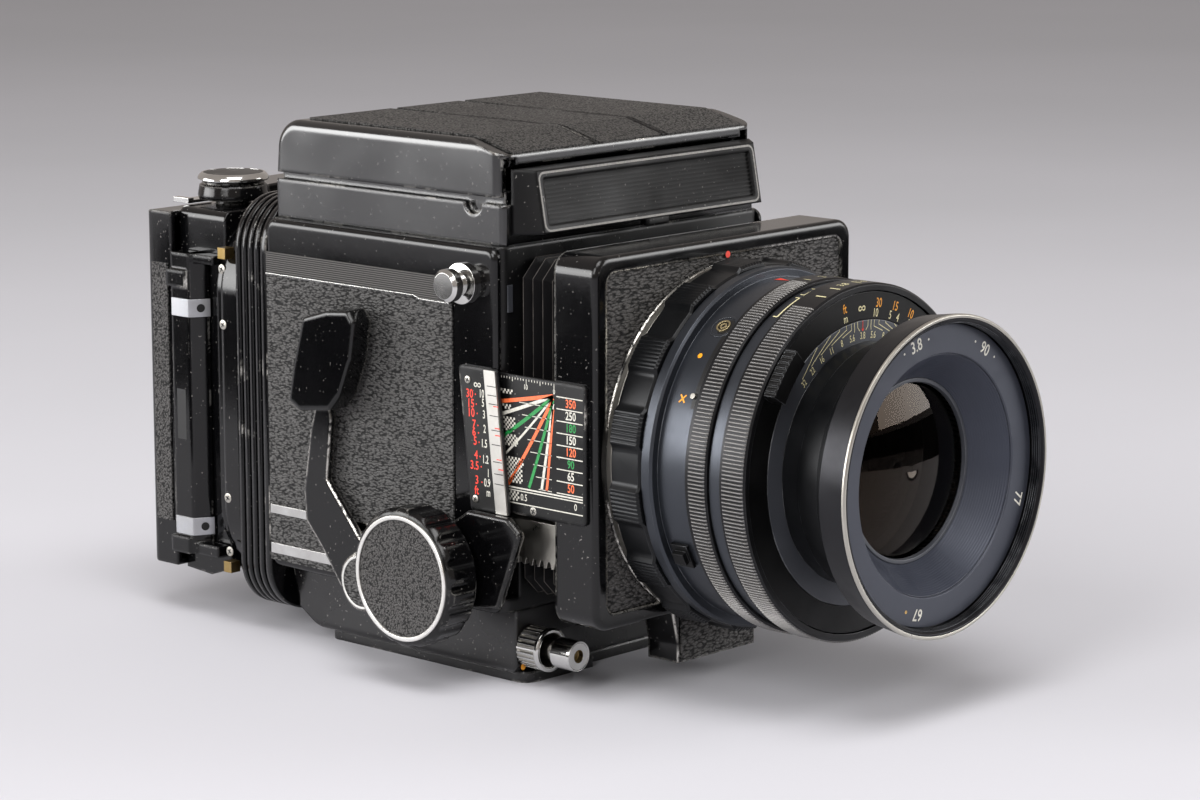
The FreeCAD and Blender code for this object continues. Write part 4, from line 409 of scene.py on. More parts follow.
# Outline of (y, z) corners between two values of x, its outer edge bevelled by a margin
def platePart(outline, x0, x1, bevel=0.0):
    middleY = sum(y for y, z in outline) / len(outline)
    middleZ = sum(z for y, z in outline) / len(outline)
    rings = [(x0, 0.0), (x1 - math.copysign(bevel, x1 - x0), 0.0), (x1, bevel)] if bevel else [(x0, 0.0), (x1, 0.0)]
    points = []
    for x, inset in rings:
        for y, z in outline:
            away = Vector((y - middleY, z - middleZ))
            reach = max(away.length - inset, 0.0) / max(away.length, 1e-6)
            points.append((x, middleY + away.x * reach, middleZ + away.y * reach))
    count = len(outline)
    ends = [tuple(range(count)), tuple(range(count * (len(rings) - 1), count * len(rings)))]
    return points, ends + ringFaces(len(rings), count)


# Corners of an outline, each replaced by an arc
def rounded(outline, radius, steps=5):
    result = []
    for index, corner in enumerate(outline):
        here = Vector(corner)
        before = (Vector(outline[index - 1]) - here).normalized()
        after = (Vector(outline[(index + 1) % len(outline)]) - here).normalized()
        half = before.angle(after) / 2
        reach = radius / math.tan(half)
        centre = here + (before + after).normalized() * (radius / math.sin(half))
        first = here + before * reach - centre
        last = here + after * reach - centre
        turn = math.atan2(first.x * last.y - first.y * last.x, first.dot(last))
        for step in range(steps + 1):
            part = turn * step / steps
            result.append((centre.x + first.x * math.cos(part) - first.y * math.sin(part),
                           centre.y + first.x * math.sin(part) + first.y * math.cos(part)))
    return result


# Node group that repeats a shape, each copy turned by its number
def repeatGroup():
    group = bpy.data.node_groups.new("repeatShape", "GeometryNodeTree")
    sockets = {}
    for label, kind in (("Geometry", "Geometry"), ("Count", "Int"), ("Turn", "Vector"), ("Finish", "Material")):
        socket = group.interface.new_socket(label, in_out="INPUT", socket_type="NodeSocket" + kind)
        sockets[label] = socket.identifier
    group.interface.new_socket("Geometry", in_out="OUTPUT", socket_type="NodeSocketGeometry")
    entry = addNode(group, "NodeGroupInput")
    line = addNode(group, "GeometryNodeMeshLine", {"mode": "OFFSET"},
                   {"Count": entry.outputs["Count"], "Start Location": (0, 0, 0), "Offset": (0, 0, 0)})
    number = addNode(group, "GeometryNodeInputIndex")
    turned = addNode(group, "ShaderNodeVectorMath", {"operation": "SCALE"},
                     {0: entry.outputs["Turn"], "Scale": number.outputs[0]})
    placed = addNode(group, "GeometryNodeInstanceOnPoints", {},
                     {"Points": line.outputs[0], "Instance": entry.outputs["Geometry"],
                      "Rotation": turned.outputs["Vector"]})
    solid = addNode(group, "GeometryNodeRealizeInstances", {}, {"Geometry": placed.outputs[0]})
    dressed = addNode(group, "GeometryNodeSetMaterial", {},
                      {"Geometry": solid.outputs[0], "Material": entry.outputs["Finish"]})
    addNode(group, "NodeGroupOutput", {}, {"Geometry": dressed.outputs[0]})
    return group, sockets


repeatTree, repeatSockets = repeatGroup()


# Copies of a part turned about the origin, kept as a plain mesh and then moved by an offset
def repeated(name, part, finish, body, count, turn, offset):
    made = newPiece(name, [part], finish, None)
    modifier = made.modifiers.new("nodes", "NODES")
    modifier.node_group = repeatTree
    for label, value in (("Count", count), ("Turn", turn), ("Finish", finish)):
        modifier[repeatSockets[label]] = value
    bpy.context.view_layer.update()
    mesh = bpy.data.meshes.new_from_object(made.evaluated_get(bpy.context.evaluated_depsgraph_get()))
    made.modifiers.remove(modifier)
    mesh.transform(Matrix.Translation(Vector(offset) * mm))
    mesh.name = made.name
    made.data = mesh
    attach(made, body)


# Print: flat letters, lines and shapes gathered by colour and by the body they sit on.
# Each face is turned to look along its normal, or away from the lens axis
printed = {}
frontNormal = (0, -1, 0)
sideNormal = (-1, 0, 0)
sideRight = (0, -1, 0)
upright = (0, 0, 1)


def addPrint(key, points, faces, normal=None):
    turned = []
    for face in faces:
        corners = [Vector(points[index]) for index in face]
        cross = Vector((0, 0, 0))
        for index, corner in enumerate(corners):
            cross += corner.cross(corners[(index + 1) % len(corners)])
        away = Vector(normal) if normal else Vector((corners[0].x, 0, corners[0].z - axisZ / mm))
        turned.append(face if cross.dot(away) > 0 else tuple(reversed(face)))
    printed.setdefault(key, []).append((points, turned))


def printText(key, text, height, origin, right, up, normal, weight=0.0, narrow=1.0):
    curve = bpy.data.curves.new("print", "FONT")
    curve.body = text
    curve.size = height / 0.7
    curve.align_x = "CENTER"
    curve.align_y = "CENTER"
    curve.resolution_u = 3
    curve.offset = weight
    holder = inScene("print", curve)
    mesh = bpy.data.meshes.new_from_object(holder.evaluated_get(bpy.context.evaluated_depsgraph_get()))
    points = [Vector(origin) + Vector(right) * v.co.x * narrow + Vector(up) * v.co.y for v in mesh.vertices]
    addPrint(key, [tuple(p) for p in points], [tuple(f.vertices) for f in mesh.polygons], normal)
    bpy.data.objects.remove(holder)
    bpy.data.curves.remove(curve)
    bpy.data.meshes.remove(mesh)


# Figures on a face of the lens that looks forwards
def flatText(key, text, height, radius, angle, along, weight, narrow):
    printText(key, text, height, lensPlace(radius, angle, along), tangentAt(angle), outwardAt(angle),
              frontNormal, weight, narrow)


# Figures and lines on the camera's right side, placed by (along, up)
def sideText(key, text, height, face, along, up, weight, narrow):
    printText(key, text, height, (face, along, up), sideRight, upright, sideNormal, weight, narrow)


def sideLine(key, face, ends, width):
    printLine(key, [(face, along, up) for along, up in ends], width, sideNormal)


# Ribbon of a given width along points that lie in one plane
def printLine(key, path, width, normal):
    points = []
    places = [Vector(p) for p in path]
    for index, place in enumerate(places):
        ahead = places[min(index + 1, len(places) - 1)] - places[max(index - 1, 0)]
        side = ahead.cross(Vector(normal)).normalized() * (width / 2)
        points += [tuple(place + side), tuple(place - side)]
    addPrint(key, points, [(2 * n, 2 * n + 1, 2 * n + 3, 2 * n + 2) for n in range(len(places) - 1)], normal)


def printDisc(key, centre, radius, first=(1, 0, 0), second=upright, normal=frontNormal, steps=24):
    points = [tuple(Vector(centre) + Vector(first) * radius * math.cos(2 * math.pi * n / steps)
                    + Vector(second) * radius * math.sin(2 * math.pi * n / steps)) for n in range(steps)]
    addPrint(key, points, [tuple(range(steps))], normal)


# Sign for endless distance, a lying figure of eight
def printEndless(key, origin, right, up, width, stroke, normal):
    path = []
    for number in range(33):
        turn = 2 * math.pi * number / 32
        scale = width / 2 / (1 + math.sin(turn) ** 2)
        path.append(Vector(origin) + Vector(right) * scale * math.cos(turn)
                    + Vector(up) * scale * 1.25 * math.sin(turn) * math.cos(turn))
    printLine(key, path, stroke, normal)


# Pleated cloth bellows: tent-like ridges between the standard and the casting
bellowsSet = {"front": -63.8, "rear": -36.4, "half": 43.9, "low": 24.2, "high": 111.8, "level": 0.068,
              "depth": 3.6, "folds": 8, "wall": 0.5, "corner": 2.6, "mitre": 2.2}


def bellowsPart(shape):
    points = []
    steps = shape["folds"] * 8
    for layer in (0.0, shape["wall"]):
        for step in range(steps + 1):
            share = step / steps
            phase = (share * shape["folds"]) % 1.0
            rise = 1.0 - abs(2.0 * phase - 1.0)
            inset = shape["depth"] * (1.0 - rise) + layer
            half = shape["half"] - inset
            low = shape["low"] + inset
            high = shape["high"] - inset
            cut = shape["corner"] + shape["mitre"] * rise
            along = shape["front"] + (shape["rear"] - shape["front"]) * share
            corners = [(-half + cut, low), (half - cut, low), (half, low + cut), (half, high - cut),
                       (half - cut, high), (-half + cut, high), (-half, high - cut), (-half, low + cut)]
            points += [(x, along, z) for x, z in corners]
    faces = ringFaces(steps + 1, 8) + ringFaces(steps + 1, 8, start=8 * (steps + 1))
    for a, b in ((0, 8 * (steps + 1)), (8 * steps, 8 * (2 * steps + 1))):
        faces += [(a + n, a + (n + 1) % 8, b + (n + 1) % 8, b + n) for n in range(8)]
    return points, faces


bellowsPiece = newPiece("pleatedBellows", [bellowsPart(bellowsSet)], bellowsCloth, None)
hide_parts("bellows")
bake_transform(bellowsPiece)
# Grey pad on the casting's front, beside the bellows
newPiece("frontPad", [boxPart(-47.7, -45.9, -36.5, -36.2, 98.2, 105.2)], depthGrey, "camera_body")
print("bellows")

# Fine straight knurls round the two setting rings; each leaves room for its figures at the top
knurlSet = {"pitch": 1.25, "root": 45.3, "tip": 45.78, "fade": 0.5, "share": 0.31, "taper": 0.45, "end": 300.0}


def knurlRib(shape, low, high, angle):
    wide = math.radians(shape["pitch"]) * shape["root"] * shape["share"]
    thin = wide * shape["taper"]
    turn = math.radians(angle)
    corners = [(x, y, z) for half, end, z in ((wide, 0.0, shape["root"]), (thin, shape["fade"], shape["tip"]))
               for x, y in ((-half, low + end), (half, low + end), (half, high - end), (-half, high - end))]
    points = [(x * math.cos(turn) - z * math.sin(turn), y, x * math.sin(turn) + z * math.cos(turn))
              for x, y, z in corners]
    return points, [(4, 5, 6, 7), (0, 1, 5, 4), (1, 2, 6, 5), (2, 3, 7, 6), (3, 0, 4, 7), (0, 3, 2, 1)]


for name, low, high, start, body in (("speedRingKnurl", -100.9, -95.4, 8.5, "shutter_speed"),
                                     ("apertureRingKnurl", -113.3, -106.3, 25.0, "aperture")):
    repeated(name, knurlRib(knurlSet, low, high, start), knurlTips, body,
             int((knurlSet["end"] - start) / knurlSet["pitch"]), (0, -math.radians(knurlSet["pitch"]), 0),
             (0, 0, axisZ / mm))
print("knurls")

# Figures on the smooth part of each setting ring, read from above
figureRadius = 45.44
for body, texts, height, first, pitch, along in (
        ("shutter_speed", ("1", "2", "4", "8", "15", "30", "60", "125", "250", "400"), 2.4, 4.5, 7.2, -98.4),
        ("aperture", ("3.8", "5.6", "8", "11", "16", "22", "32"), 2.2, 5.0, 9.0, -110.2)):
    for index, text in enumerate(texts):
        angle = first - pitch * index
        printText(("creamPaint", body), text, height, lensPlace(figureRadius, angle, along), tangentAt(angle),
                  (0, 1, 0), outwardAt(angle), 0.02, 0.8)
for angle in (17.0, 10.0, -0.5):
    printLine(("creamPaint", "aperture"), [lensPlace(45.46, angle, along) for along in (-112.4, -109.2)], 0.45,
              outwardAt(angle))
print("ring figures")

# Distance figures on the flat ring, depth figures and lines on the collar inside it
scaleSet = {"face": -113.24, "depthFace": -113.34, "depthRadius": 32.25, "lineInner": 33.6, "lineOuter": 36.1}
distanceMarks = (
    ("orangePaint", 2.3, 40.3, 0.04, 0.72, (("ft", 9.9), ("30", -9.2), ("15", -18.8), ("10", -28.4), ("7", -39.0),
                                            ("5", -52.0), ("4", -66.0), ("3.5", -81.0))),
    ("creamPaint", 2.15, 37.75, 0.02, 0.7, (("m", 10.0), ("10", -7.8), ("5", -16.9), ("4", -21.7), ("3", -29.0),
                                            ("2", -42.0), ("1.5", -55.0), ("1.2", -68.0), ("1", -81.0))))
for paint, height, radius, weight, narrow, marks in distanceMarks:
    for text, angle in marks:
        flatText((paint, "distance_scale"), text, height, radius, angle, scaleSet["face"], weight, narrow)
printEndless(("creamPaint", "distance_scale"), lensPlace(39.2, 0.4, scaleSet["face"]), tangentAt(0.4), outwardAt(0.4),
             2.4, 0.34, frontNormal)
lensPiece("depthScaleFace", shifted([(0.3, 30.7), (0.3, 36.1), (0.02, 36.12), (0.02, 30.7)], scaleSet["depthFace"]),
          120, depthGrey)
creamKey = ("creamPaint", "focus_slide")
redKey = ("redPaint", "focus_slide")
depthMark = scaleSet["depthFace"] - 0.02
# Each row: figure, its angle, the angle where its line starts, the bend's radius, the angle where the line ends
for text, figure, start, bend, tick in (("3.8", 0.0, 2.0, 34.6, 3.3), ("5.6", 7.3, 5.6, 34.5, 5.3),
                                        ("8", 14.5, 13.6, 34.5, 7.3), ("11", 21.9, 21.2, 35.1, 10.3),
                                        ("16", 29.3, 28.8, 35.7, 14.6), ("22", 36.8, 36.2, 36.0, 20.4),
                                        ("32", 44.2, 43.7, 36.1, 29.2)):
    for side in (1, -1):
        if side > 0 or figure:
            flatText(creamKey, text, 1.75, scaleSet["depthRadius"], side * figure, depthMark, 0.02, 0.68)
        printLine(creamKey, [lensPlace(radius, side * angle, depthMark) for radius, angle in (
            (scaleSet["lineInner"], start), (bend, tick), (scaleSet["lineOuter"], tick))], 0.2, frontNormal)
printLine(redKey, [lensPlace(radius, 0.0, depthMark) for radius in (34.0, 36.1)], 0.22, frontNormal)
printDisc(redKey, lensPlace(33.9, 0.0, depthMark), 0.4)


def barrelPatch(key, start, end, rear, front, radius):
    steps = max(2, int(abs(end - start) / 1.5))
    points = []
    for step in range(steps + 1):
        angle = start + (end - start) * step / steps
        points += [tuple(lensPlace(radius, angle, rear)), tuple(lensPlace(radius, angle, front))]
    addPrint(key, points, [(2 * n, 2 * n + 1, 2 * n + 3, 2 * n + 2) for n in range(steps)])


# Bracket marks on the fixed band between the setting rings
bandSet = {"radius": 44.36, "line": -103.9, "width": 0.4, "tick": 1.3}
for start, end in ((29.4, 17.4), (14.9, 9.1), (-9.0, -24.0), (-28.0, -34.0)):
    barrelPatch(creamKey, start, end, bandSet["line"] + bandSet["width"] / 2, bandSet["line"] - bandSet["width"] / 2,
                bandSet["radius"])
    for angle in (start, end):
        barrelPatch(creamKey, angle - 0.25, angle + 0.25, bandSet["line"] + bandSet["tick"], bandSet["line"],
                    bandSet["radius"])
barrelPatch(redKey, 7.2, 5.4, -103.6, -104.4, bandSet["radius"])
print("scales on the lens")

# Thread in the rim, engraved ring and ribbed funnel in front of the glass
funnelSet = {"threadRear": -137.5, "threadFront": -140.2, "threadPitch": 0.65, "ringFace": -137.45, "mouth": -136.8,
             "mouthRadius": 30.25, "floor": -128.35, "floorRadius": 23.4, "ribs": 17, "notch": 0.12, "lip": 0.05}
threads = []
along = funnelSet["threadFront"]
while along < funnelSet["threadRear"] - funnelSet["threadPitch"]:
    threads.append(turnedPart([(along + funnelSet["threadPitch"] * share, radius)
                               for share, radius in ((0.0, 38.47), (0.45, 38.12), (0.9, 38.47))], 144))
    along += funnelSet["threadPitch"]
newPiece("filterThreads", threads, lensBlue, "focus_slide", True)
lensPiece("engravedRing", shifted([(0.0, 37.85), (-0.02, 30.6), (0.35, 30.3), (1.2, 30.3), (1.2, 37.85)],
                                  funnelSet["ringFace"]), 144, ringSlate)
lensPiece("glassRetainer", shifted([(-0.15, 0.1), (-0.55, -0.2), (-0.55, -1.0), (0.5, -1.3), (0.5, 0.1)],
                                   funnelSet["floor"], funnelSet["floorRadius"]), 120, depthGrey)


def funnelPlace(share):
    return (funnelSet["mouth"] + (funnelSet["floor"] - funnelSet["mouth"]) * share,
            funnelSet["mouthRadius"] + (funnelSet["floorRadius"] - funnelSet["mouthRadius"]) * share)


outline = []
for number in range(funnelSet["ribs"]):
    place, radius = funnelPlace(number / funnelSet["ribs"])
    after, nextRadius = funnelPlace((number + 1) / funnelSet["ribs"])
    outline += [(place - funnelSet["notch"], radius - funnelSet["lip"]),
                (place + funnelSet["notch"], nextRadius + funnelSet["lip"]),
                (after - funnelSet["notch"], nextRadius - funnelSet["lip"])]
outline += [(funnelSet["floor"] + 0.3, funnelSet["floorRadius"]), (funnelSet["mouth"] + 0.3, 30.5)]
lensPiece("ribbedFunnel", outline, 144, funnelBlue)
ringMark = funnelSet["ringFace"] - 0.06
whiteKey = ("whitePaint", "focus_slide")
for text, angle in (("3.8", 15.0), ("90", -32.0), ("77", -108.0), ("67", 168.0)):
    flatText(whiteKey, text, 3.0, 34.6, angle, ringMark, 0.05, 0.85)
for angle in (7.0, 23.0, -24.5, -39.5):
    printDisc(whiteKey, lensPlace(34.9, angle, ringMark), 0.3)
printDisc(("goldPaint", "focus_slide"), lensPlace(34.5, 160.0, ringMark), 0.45)
lensPiece("brightRimEdge", [(-140.85, 39.45), (-140.97, 39.75), (-140.97, 40.15), (-140.7, 40.5), (-140.2, 40.54),
                            (-140.3, 39.45)], 160, satinSteel)
print("funnel and rim")


# Ring on the barrel round a line that points away from the lens axis
def radialRing(angle, along, innerRadius, outerRadius, low, high, steps=40):
    points = []
    for away in (low, high):
        for radius in (innerRadius, outerRadius):
            for step in range(steps):
                turn = 2 * math.pi * step / steps
                side = radius * math.cos(turn)
                height = away - (1 - math.cos(side / away)) * away
                points.append(tuple(lensPlace(height, angle, along) + tangentAt(angle) * side
                                    + Vector((0, radius * math.sin(turn), 0))))
    return points, [(a * steps + n, a * steps + (n + 1) % steps, b * steps + (n + 1) % steps, b * steps + n)
                    for n in range(steps) for a, b in ((0, 1), (2, 3), (0, 2), (1, 3))]


# Sync socket in its round recess, the slot of its lever and the marks beside it; the recess and the slot are painted
# near black as shade
syncSet = {"socket": (36.6, -90.3), "slotStart": 40.5, "slotEnd": 67.6, "slotRear": -92.15, "slotFront": -93.65,
           "tip": (63.6, -92.3), "tipRadius": 0.75}
for name, rings, finish, slotName in (
        ("syncWellRing", ((3.1, 3.75, 43.8, 44.14),), syncBlue, "black_metal"),
        ("syncSocketRims", ((1.45, 1.95, 43.6, 44.3), (0.5, 1.0, 43.6, 44.22)), paleBrass, "brass"),
        ("syncSocketWell", ((0.02, 0.5, 43.6, 43.9), (1.0, 1.45, 43.6, 44.08)), lensDark, "black_metal")):
    newPiece(name, [radialRing(*syncSet["socket"], *ring) for ring in rings], finish, "focus_slide", True)
paintedShadeKey = ("darkPaint", "focus_slide")
# Painted shade in the socket's recess and in the lever's slot
barrelPatch(paintedShadeKey, 33.6, 39.8, -89.8, -93.8, 44.06)
barrelPatch(paintedShadeKey, syncSet["slotStart"], syncSet["slotEnd"], syncSet["slotRear"], syncSet["slotFront"], 44.05)
newPiece("syncLeverTip", [radialRing(*syncSet["tip"], 0.02, syncSet["tipRadius"], 43.8, 44.75, 16)], satinSteel,
         "sync", True)
signSet = {"radius": 44.07, "along": -88.9, "cross": 64.8, "dot": 49.4}
orangeKey = ("orangePaint", "focus_slide")
for lean in (1, -1):
    ends = [lensPlace(signSet["radius"], signSet["cross"] + step * 1.3, signSet["along"] + step * lean * 0.9)
            for step in (-1, 1)]
    printLine(orangeKey, ends, 0.42, outwardAt(signSet["cross"]))
printDisc(orangeKey, lensPlace(signSet["radius"], signSet["dot"], signSet["along"]), 0.7, tangentAt(signSet["dot"]),
          (0, 1, 0), outwardAt(signSet["dot"]))
addPrint(redKey, [tuple(lensPlace(signSet["radius"], angle, along))
                  for angle, along in ((0.3, -86.6), (3.6, -86.6), (2.0, -90.6))], [(0, 1, 2)])
print("synchro section")

# Lock ring: fifteen ribbed lobes with shallow hollows between them
lockSet = {"rear": -70.75, "front": -80.65, "inner": 41.9, "outer": 47.95, "hollow": 46.75, "lobes": 15,
           "firstLobe": 29.2, "lobeHalf": 5.3, "grooves": 8, "grooveDepth": 0.38, "steps": 1080, "bevel": 0.6}


def lockRadius(angle):
    period = 360.0 / lockSet["lobes"]
    away = (angle - lockSet["firstLobe"] + period / 2) % period - period / 2
    if abs(away) <= lockSet["lobeHalf"]:
        phase = (away + lockSet["lobeHalf"]) / (2 * lockSet["lobeHalf"]) * lockSet["grooves"]
        ridge = abs(math.sin(math.pi * phase))
        return lockSet["outer"] - lockSet["grooveDepth"] * (1.0 - min(1.0, 1.6 * ridge))
    share = (abs(away) - lockSet["lobeHalf"]) / (period / 2 - lockSet["lobeHalf"])
    return lockSet["hollow"] + (lockSet["outer"] - 0.25 - lockSet["hollow"]) * (1.0 - min(1.0, share * 3.0)) ** 2


turns = [360.0 * n / lockSet["steps"] for n in range(lockSet["steps"])]
lockPoints = []
for along, shrink in ((lockSet["rear"], 0.7), (lockSet["rear"] - lockSet["bevel"], 0.0),
                      (lockSet["front"] + lockSet["bevel"], 0.0), (lockSet["front"], 0.6)):
    lockPoints += [lensPlace(lockRadius(turn) - shrink, turn, along) for turn in turns]
for along in (lockSet["front"], lockSet["rear"]):
    lockPoints += [lensPlace(lockSet["inner"], turn, along) for turn in turns]
lockPiece = newPiece("lobedLockRing", [(lockPoints, ringFaces(6, lockSet["steps"], True))], lensBlack, "lock_ring",
                     True)
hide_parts("lens_lock_ring")
print("lock ring")

# Distance panel with its figures and dots, and the bright bar with its lines
panelSet = {"face": -52.84, "barFace": -53.44, "redHeight": 2.2, "whiteHeight": 2.1}
for text, along, up in (("30", -27.6, 77.0), ("15", -28.0, 74.5), ("10", -28.1, 72.1), ("7", -29.1, 69.2),
                        ("6", -29.1, 67.2), ("5", -29.5, 64.9), ("4", -29.8, 61.3), ("3.5", -29.2, 58.5),
                        ("3", -30.0, 54.8), ("ft", -29.9, 52.1)):
    sideText(("redPaint", "camera_body"), text, panelSet["redHeight"], panelSet["face"], along, up, 0.05, 0.82)
for along, up in ((-29.7, 77.1), (-30.0, 74.6), (-30.3, 72.2), (-30.5, 69.1), (-30.7, 67.2), (-30.9, 64.8),
                  (-31.2, 61.1), (-31.6, 58.5), (-31.8, 54.5)):
    printDisc(("redPaint", "camera_body"), (panelSet["face"], along, up), 0.22, sideRight, upright, sideNormal, 12)
for text, along, up in (("10", -31.9, 77.4), ("5", -32.4, 75.1), ("3", -32.7, 72.1), ("2", -32.9, 68.4),
                        ("1.5", -32.7, 64.6), ("1.2", -33.1, 60.5), ("1", -34.1, 57.1), ("0.9", -33.7, 54.5),
                        ("m", -34.1, 52.0)):
    sideText(("whitePaint", "camera_body"), text, panelSet["whiteHeight"], panelSet["face"], along, up, 0.04, 0.62)
printEndless(("whitePaint", "camera_body"), (panelSet["face"], -30.4, 79.6), sideRight, upright, 2.2, 0.3, sideNormal)
for paint, half, width, marks in (
        ("blackPaint", 1.6, 0.22, ((-36.0, 79.9), (-36.2, 77.6), (-36.6, 75.4), (-36.9, 72.4), (-37.5, 68.7),
                                   (-37.6, 65.0), (-38.0, 60.6), (-38.4, 57.5), (-38.5, 54.9))),
        ("redPaint", 0.9, 0.26, ((-37.5, 74.9), (-38.0, 69.3), (-38.1, 67.5), (-38.6, 61.3), (-39.2, 58.8)))):
    for along, up in marks:
        sideLine((paint, "camera_body"), panelSet["barFace"], [(along + half, up), (along - half, up)], width)

# Rubbed rim round the nameplate
rimSet = {"half": 41.2, "low": Vector((0.0, -44.0, 118.3)), "high": Vector((0.0, -41.0, 134.2)), "inset": 0.7,
          "corner": 1.8, "width": 0.55, "lift": 0.05}
rimUp = (rimSet["high"] - rimSet["low"]).normalized()
rimOut = Vector((0.0, -rimUp.z, rimUp.y))
rimTop = (rimSet["high"] - rimSet["low"]).length - rimSet["inset"]
rimPath = [Vector((x, 0.0, 0.0)) + rimSet["low"] + rimUp * rise + rimOut * rimSet["lift"]
           for x, rise in rounded([(-rimSet["half"], rimSet["inset"]), (rimSet["half"], rimSet["inset"]),
                                   (rimSet["half"], rimTop), (-rimSet["half"], rimTop)], rimSet["corner"])]
printLine(("rubbedPaint", "camera_body"), rimPath + rimPath[:1], rimSet["width"], tuple(rimOut))

# The chart: bellows extension for each focal length against distance, from the lens formula
chartSet = {"face": -50.64, "zeroAlong": -55.3, "zeroUp": 79.5, "scale": 0.99, "drop": 24.6, "left": -37.2,
            "foot": 54.8, "right": -65.1, "row": 3.08, "step": 0.35, "cell": 0.6}
chartRows = (("coralPaint", 350, 1.0), ("whitePaint", 250, 0.9), ("greenPaint", 180, 0.95), ("whitePaint", 150, 0.6),
             ("coralPaint", 120, 0.95), ("greenPaint", 90, 0.9), ("whitePaint", 65, 0.85), ("coralPaint", 50, 0.8))


def chartCurve(focal):
    path = []
    extension = chartSet["step"]
    while True:
        up = chartSet["zeroUp"] - chartSet["drop"] * 1000.0 * extension / (focal * focal + focal * extension)
        along = chartSet["zeroAlong"] + extension * chartSet["scale"]
        path.append((along, max(up, chartSet["foot"])))
        if up <= chartSet["foot"] or along >= chartSet["left"]:
            return path
        extension += chartSet["step"]


for number in range(9):
    up = chartSet["zeroUp"] - chartSet["row"] * number
    sideLine(whiteKey, chartSet["face"], [(-56.1, up), (chartSet["right"], up)], 0.28)
    if number:
        sideLine(whiteKey, chartSet["face"], [(min(-41.5, -37.6 - 0.95 * number - 4.6), up), (-54.4, up)], 0.2)
for row, (paint, focal, width) in enumerate(chartRows):
    sideText((paint, "focus_slide"), str(focal), 2.1, chartSet["face"], -61.0,
             chartSet["zeroUp"] - chartSet["row"] * (row + 0.5), 0.05, 0.8)
for width, up in ((0.4, 54.2), (0.28, 53.5), (0.28, 50.2)):
    sideLine(whiteKey, chartSet["face"], [(-38.6, up), (chartSet["right"], up)], width)
for number in range(20):
    along = chartSet["zeroAlong"] + number * chartSet["scale"] * 0.98
    tall = 1.5 if number % 10 == 0 else (1.1 if number % 5 == 0 else 0.55)
    sideLine(whiteKey, chartSet["face"], [(along, 82.6), (along, 82.6 - tall)], 0.2)
for text, along in (("0", -55.3), ("10", -45.4)):
    sideText(whiteKey, text, 1.3, chartSet["face"], along, 80.5, 0.02, 0.8)
for paint, focal, width in chartRows:
    sideLine((paint, "focus_slide"), chartSet["face"], chartCurve(focal), width)


# Chequered field between two corners, its left edge leaning
def checkers(left, top, right, foot):
    cell = chartSet["cell"]
    points = []
    for row in range(int((top - foot) / cell)):
        up = top - row * cell
        edge = left - 0.34 * (top - up) / (top - foot)
        for column in range(row % 2, int((edge - right) / cell), 2):
            along = edge - column * cell
            points += [(chartSet["face"], y, z) for y, z in (
                (along, up), (along - cell, up), (along - cell, up - cell), (along, up - cell))]
    addPrint(whiteKey, points, [(n, n + 1, n + 2, n + 3) for n in range(0, len(points), 4)], sideNormal)


for corners in ((-36.6, 79.3, -41.2, 77.6), (-37.2, 75.4, -40.6, 74.2), (-37.4, 72.2, -41.8, 68.6),
                (-37.6, 67.8, -43.0, 64.6), (-37.9, 62.0, -44.6, 55.4), (-38.6, 53.2, -43.0, 50.6)):
    checkers(*corners)
for text, along in (("0.5", -44.6), ("0", -62.6)):
    sideText(whiteKey, text, 1.7, chartSet["face"], along, 51.9, 0.03, 0.8)
print("distance panel and chart")


# Small cross-headed screw, axis along X
def screwPart(face, along, up, radius, rise):
    out = math.copysign(rise, face)
    return turnedPartX([(face + out * 0.1, 0.02), (face + out * 0.1, radius), (face + out * 0.7, radius),
                        (face + out, radius * 0.8), (face + out, 0.02)], 20, (along, up))


# Cross recess of a screw head, painted near black as shade
def crossMark(key, face, along, up, radius):
    for angle in (0.5, 0.5 + math.pi / 2):
        y, z = math.cos(angle) * radius, math.sin(angle) * radius
        printLine(key, [(face, along + y, up + z), (face, along - y, up - z)], radius * 0.45,
                  (math.copysign(1, face), 0, 0))


screwSet = (("camera_body", 0.3, (1,), [(-52.8, -27.0, 80.6, 1.0), (-52.8, -29.5, 49.9, 1.0)]),
            ("focus_slide", 0.06, (1,), [(-50.6, -47.8, 48.8, 1.1)]),
            ("revolving_back", 0.35, (1, -1), [(-50.3, 69.4, 99.0, 1.35), (-51.3, 68.2, 84.0, 1.35),
                                               (-51.3, 67.6, 36.0, 1.35), (-50.3, 68.4, 20.7, 1.35)]))
for body, rise, sides, screws in screwSet:
    parts = []
    for face, along, up, radius in screws:
        for side in sides:
            parts.append(screwPart(face * side, along, up, radius, rise))
            crossMark(("darkPaint", body), (face - rise - 0.02) * side, along, up, radius * 0.62)
    newPiece(body + "Screws", parts, satinSteel, body, True)
print("screws")

# Side plates, bright strips and the frame line round the leather
stripSet = {"outline": [(49.2, 106.1), (-20.3, 106.1), (-20.3, 99.4), (-9.6, 99.4), (-7.4, 100.2), (49.2, 100.2)],
            "line": [(-20.3, 99.4), (-9.6, 99.4), (-7.4, 100.2), (49.2, 100.2)], "face": 52.0,
            "bands": [(34.9, 37.3), (23.9, 26.7)], "bandRear": 49.0, "bandFront": 6.0}


def barAlong(path, x0, x1, width):
    points = []
    for index, (y, z) in enumerate(path):
        before = path[max(index - 1, 0)]
        after = path[min(index + 1, len(path) - 1)]
        ahead = Vector((after[0] - before[0], after[1] - before[1])).normalized()
        side = Vector((-ahead.y, ahead.x)) * (width / 2)
        for x in (x0, x1):
            points += [(x, y + side.x, z + side.y), (x, y - side.x, z - side.y)]
    faces = [(0, 1, 3, 2)]
    for a in range(0, 4 * (len(path) - 1), 4):
        b = a + 4
        faces += [(a, a + 1, b + 1, b), (a + 2, b + 2, b + 3, a + 3),
                  (a, b, b + 2, a + 2), (a + 1, a + 3, b + 3, b + 1)]
    return points, faces + [(b, b + 2, b + 3, b + 1)]


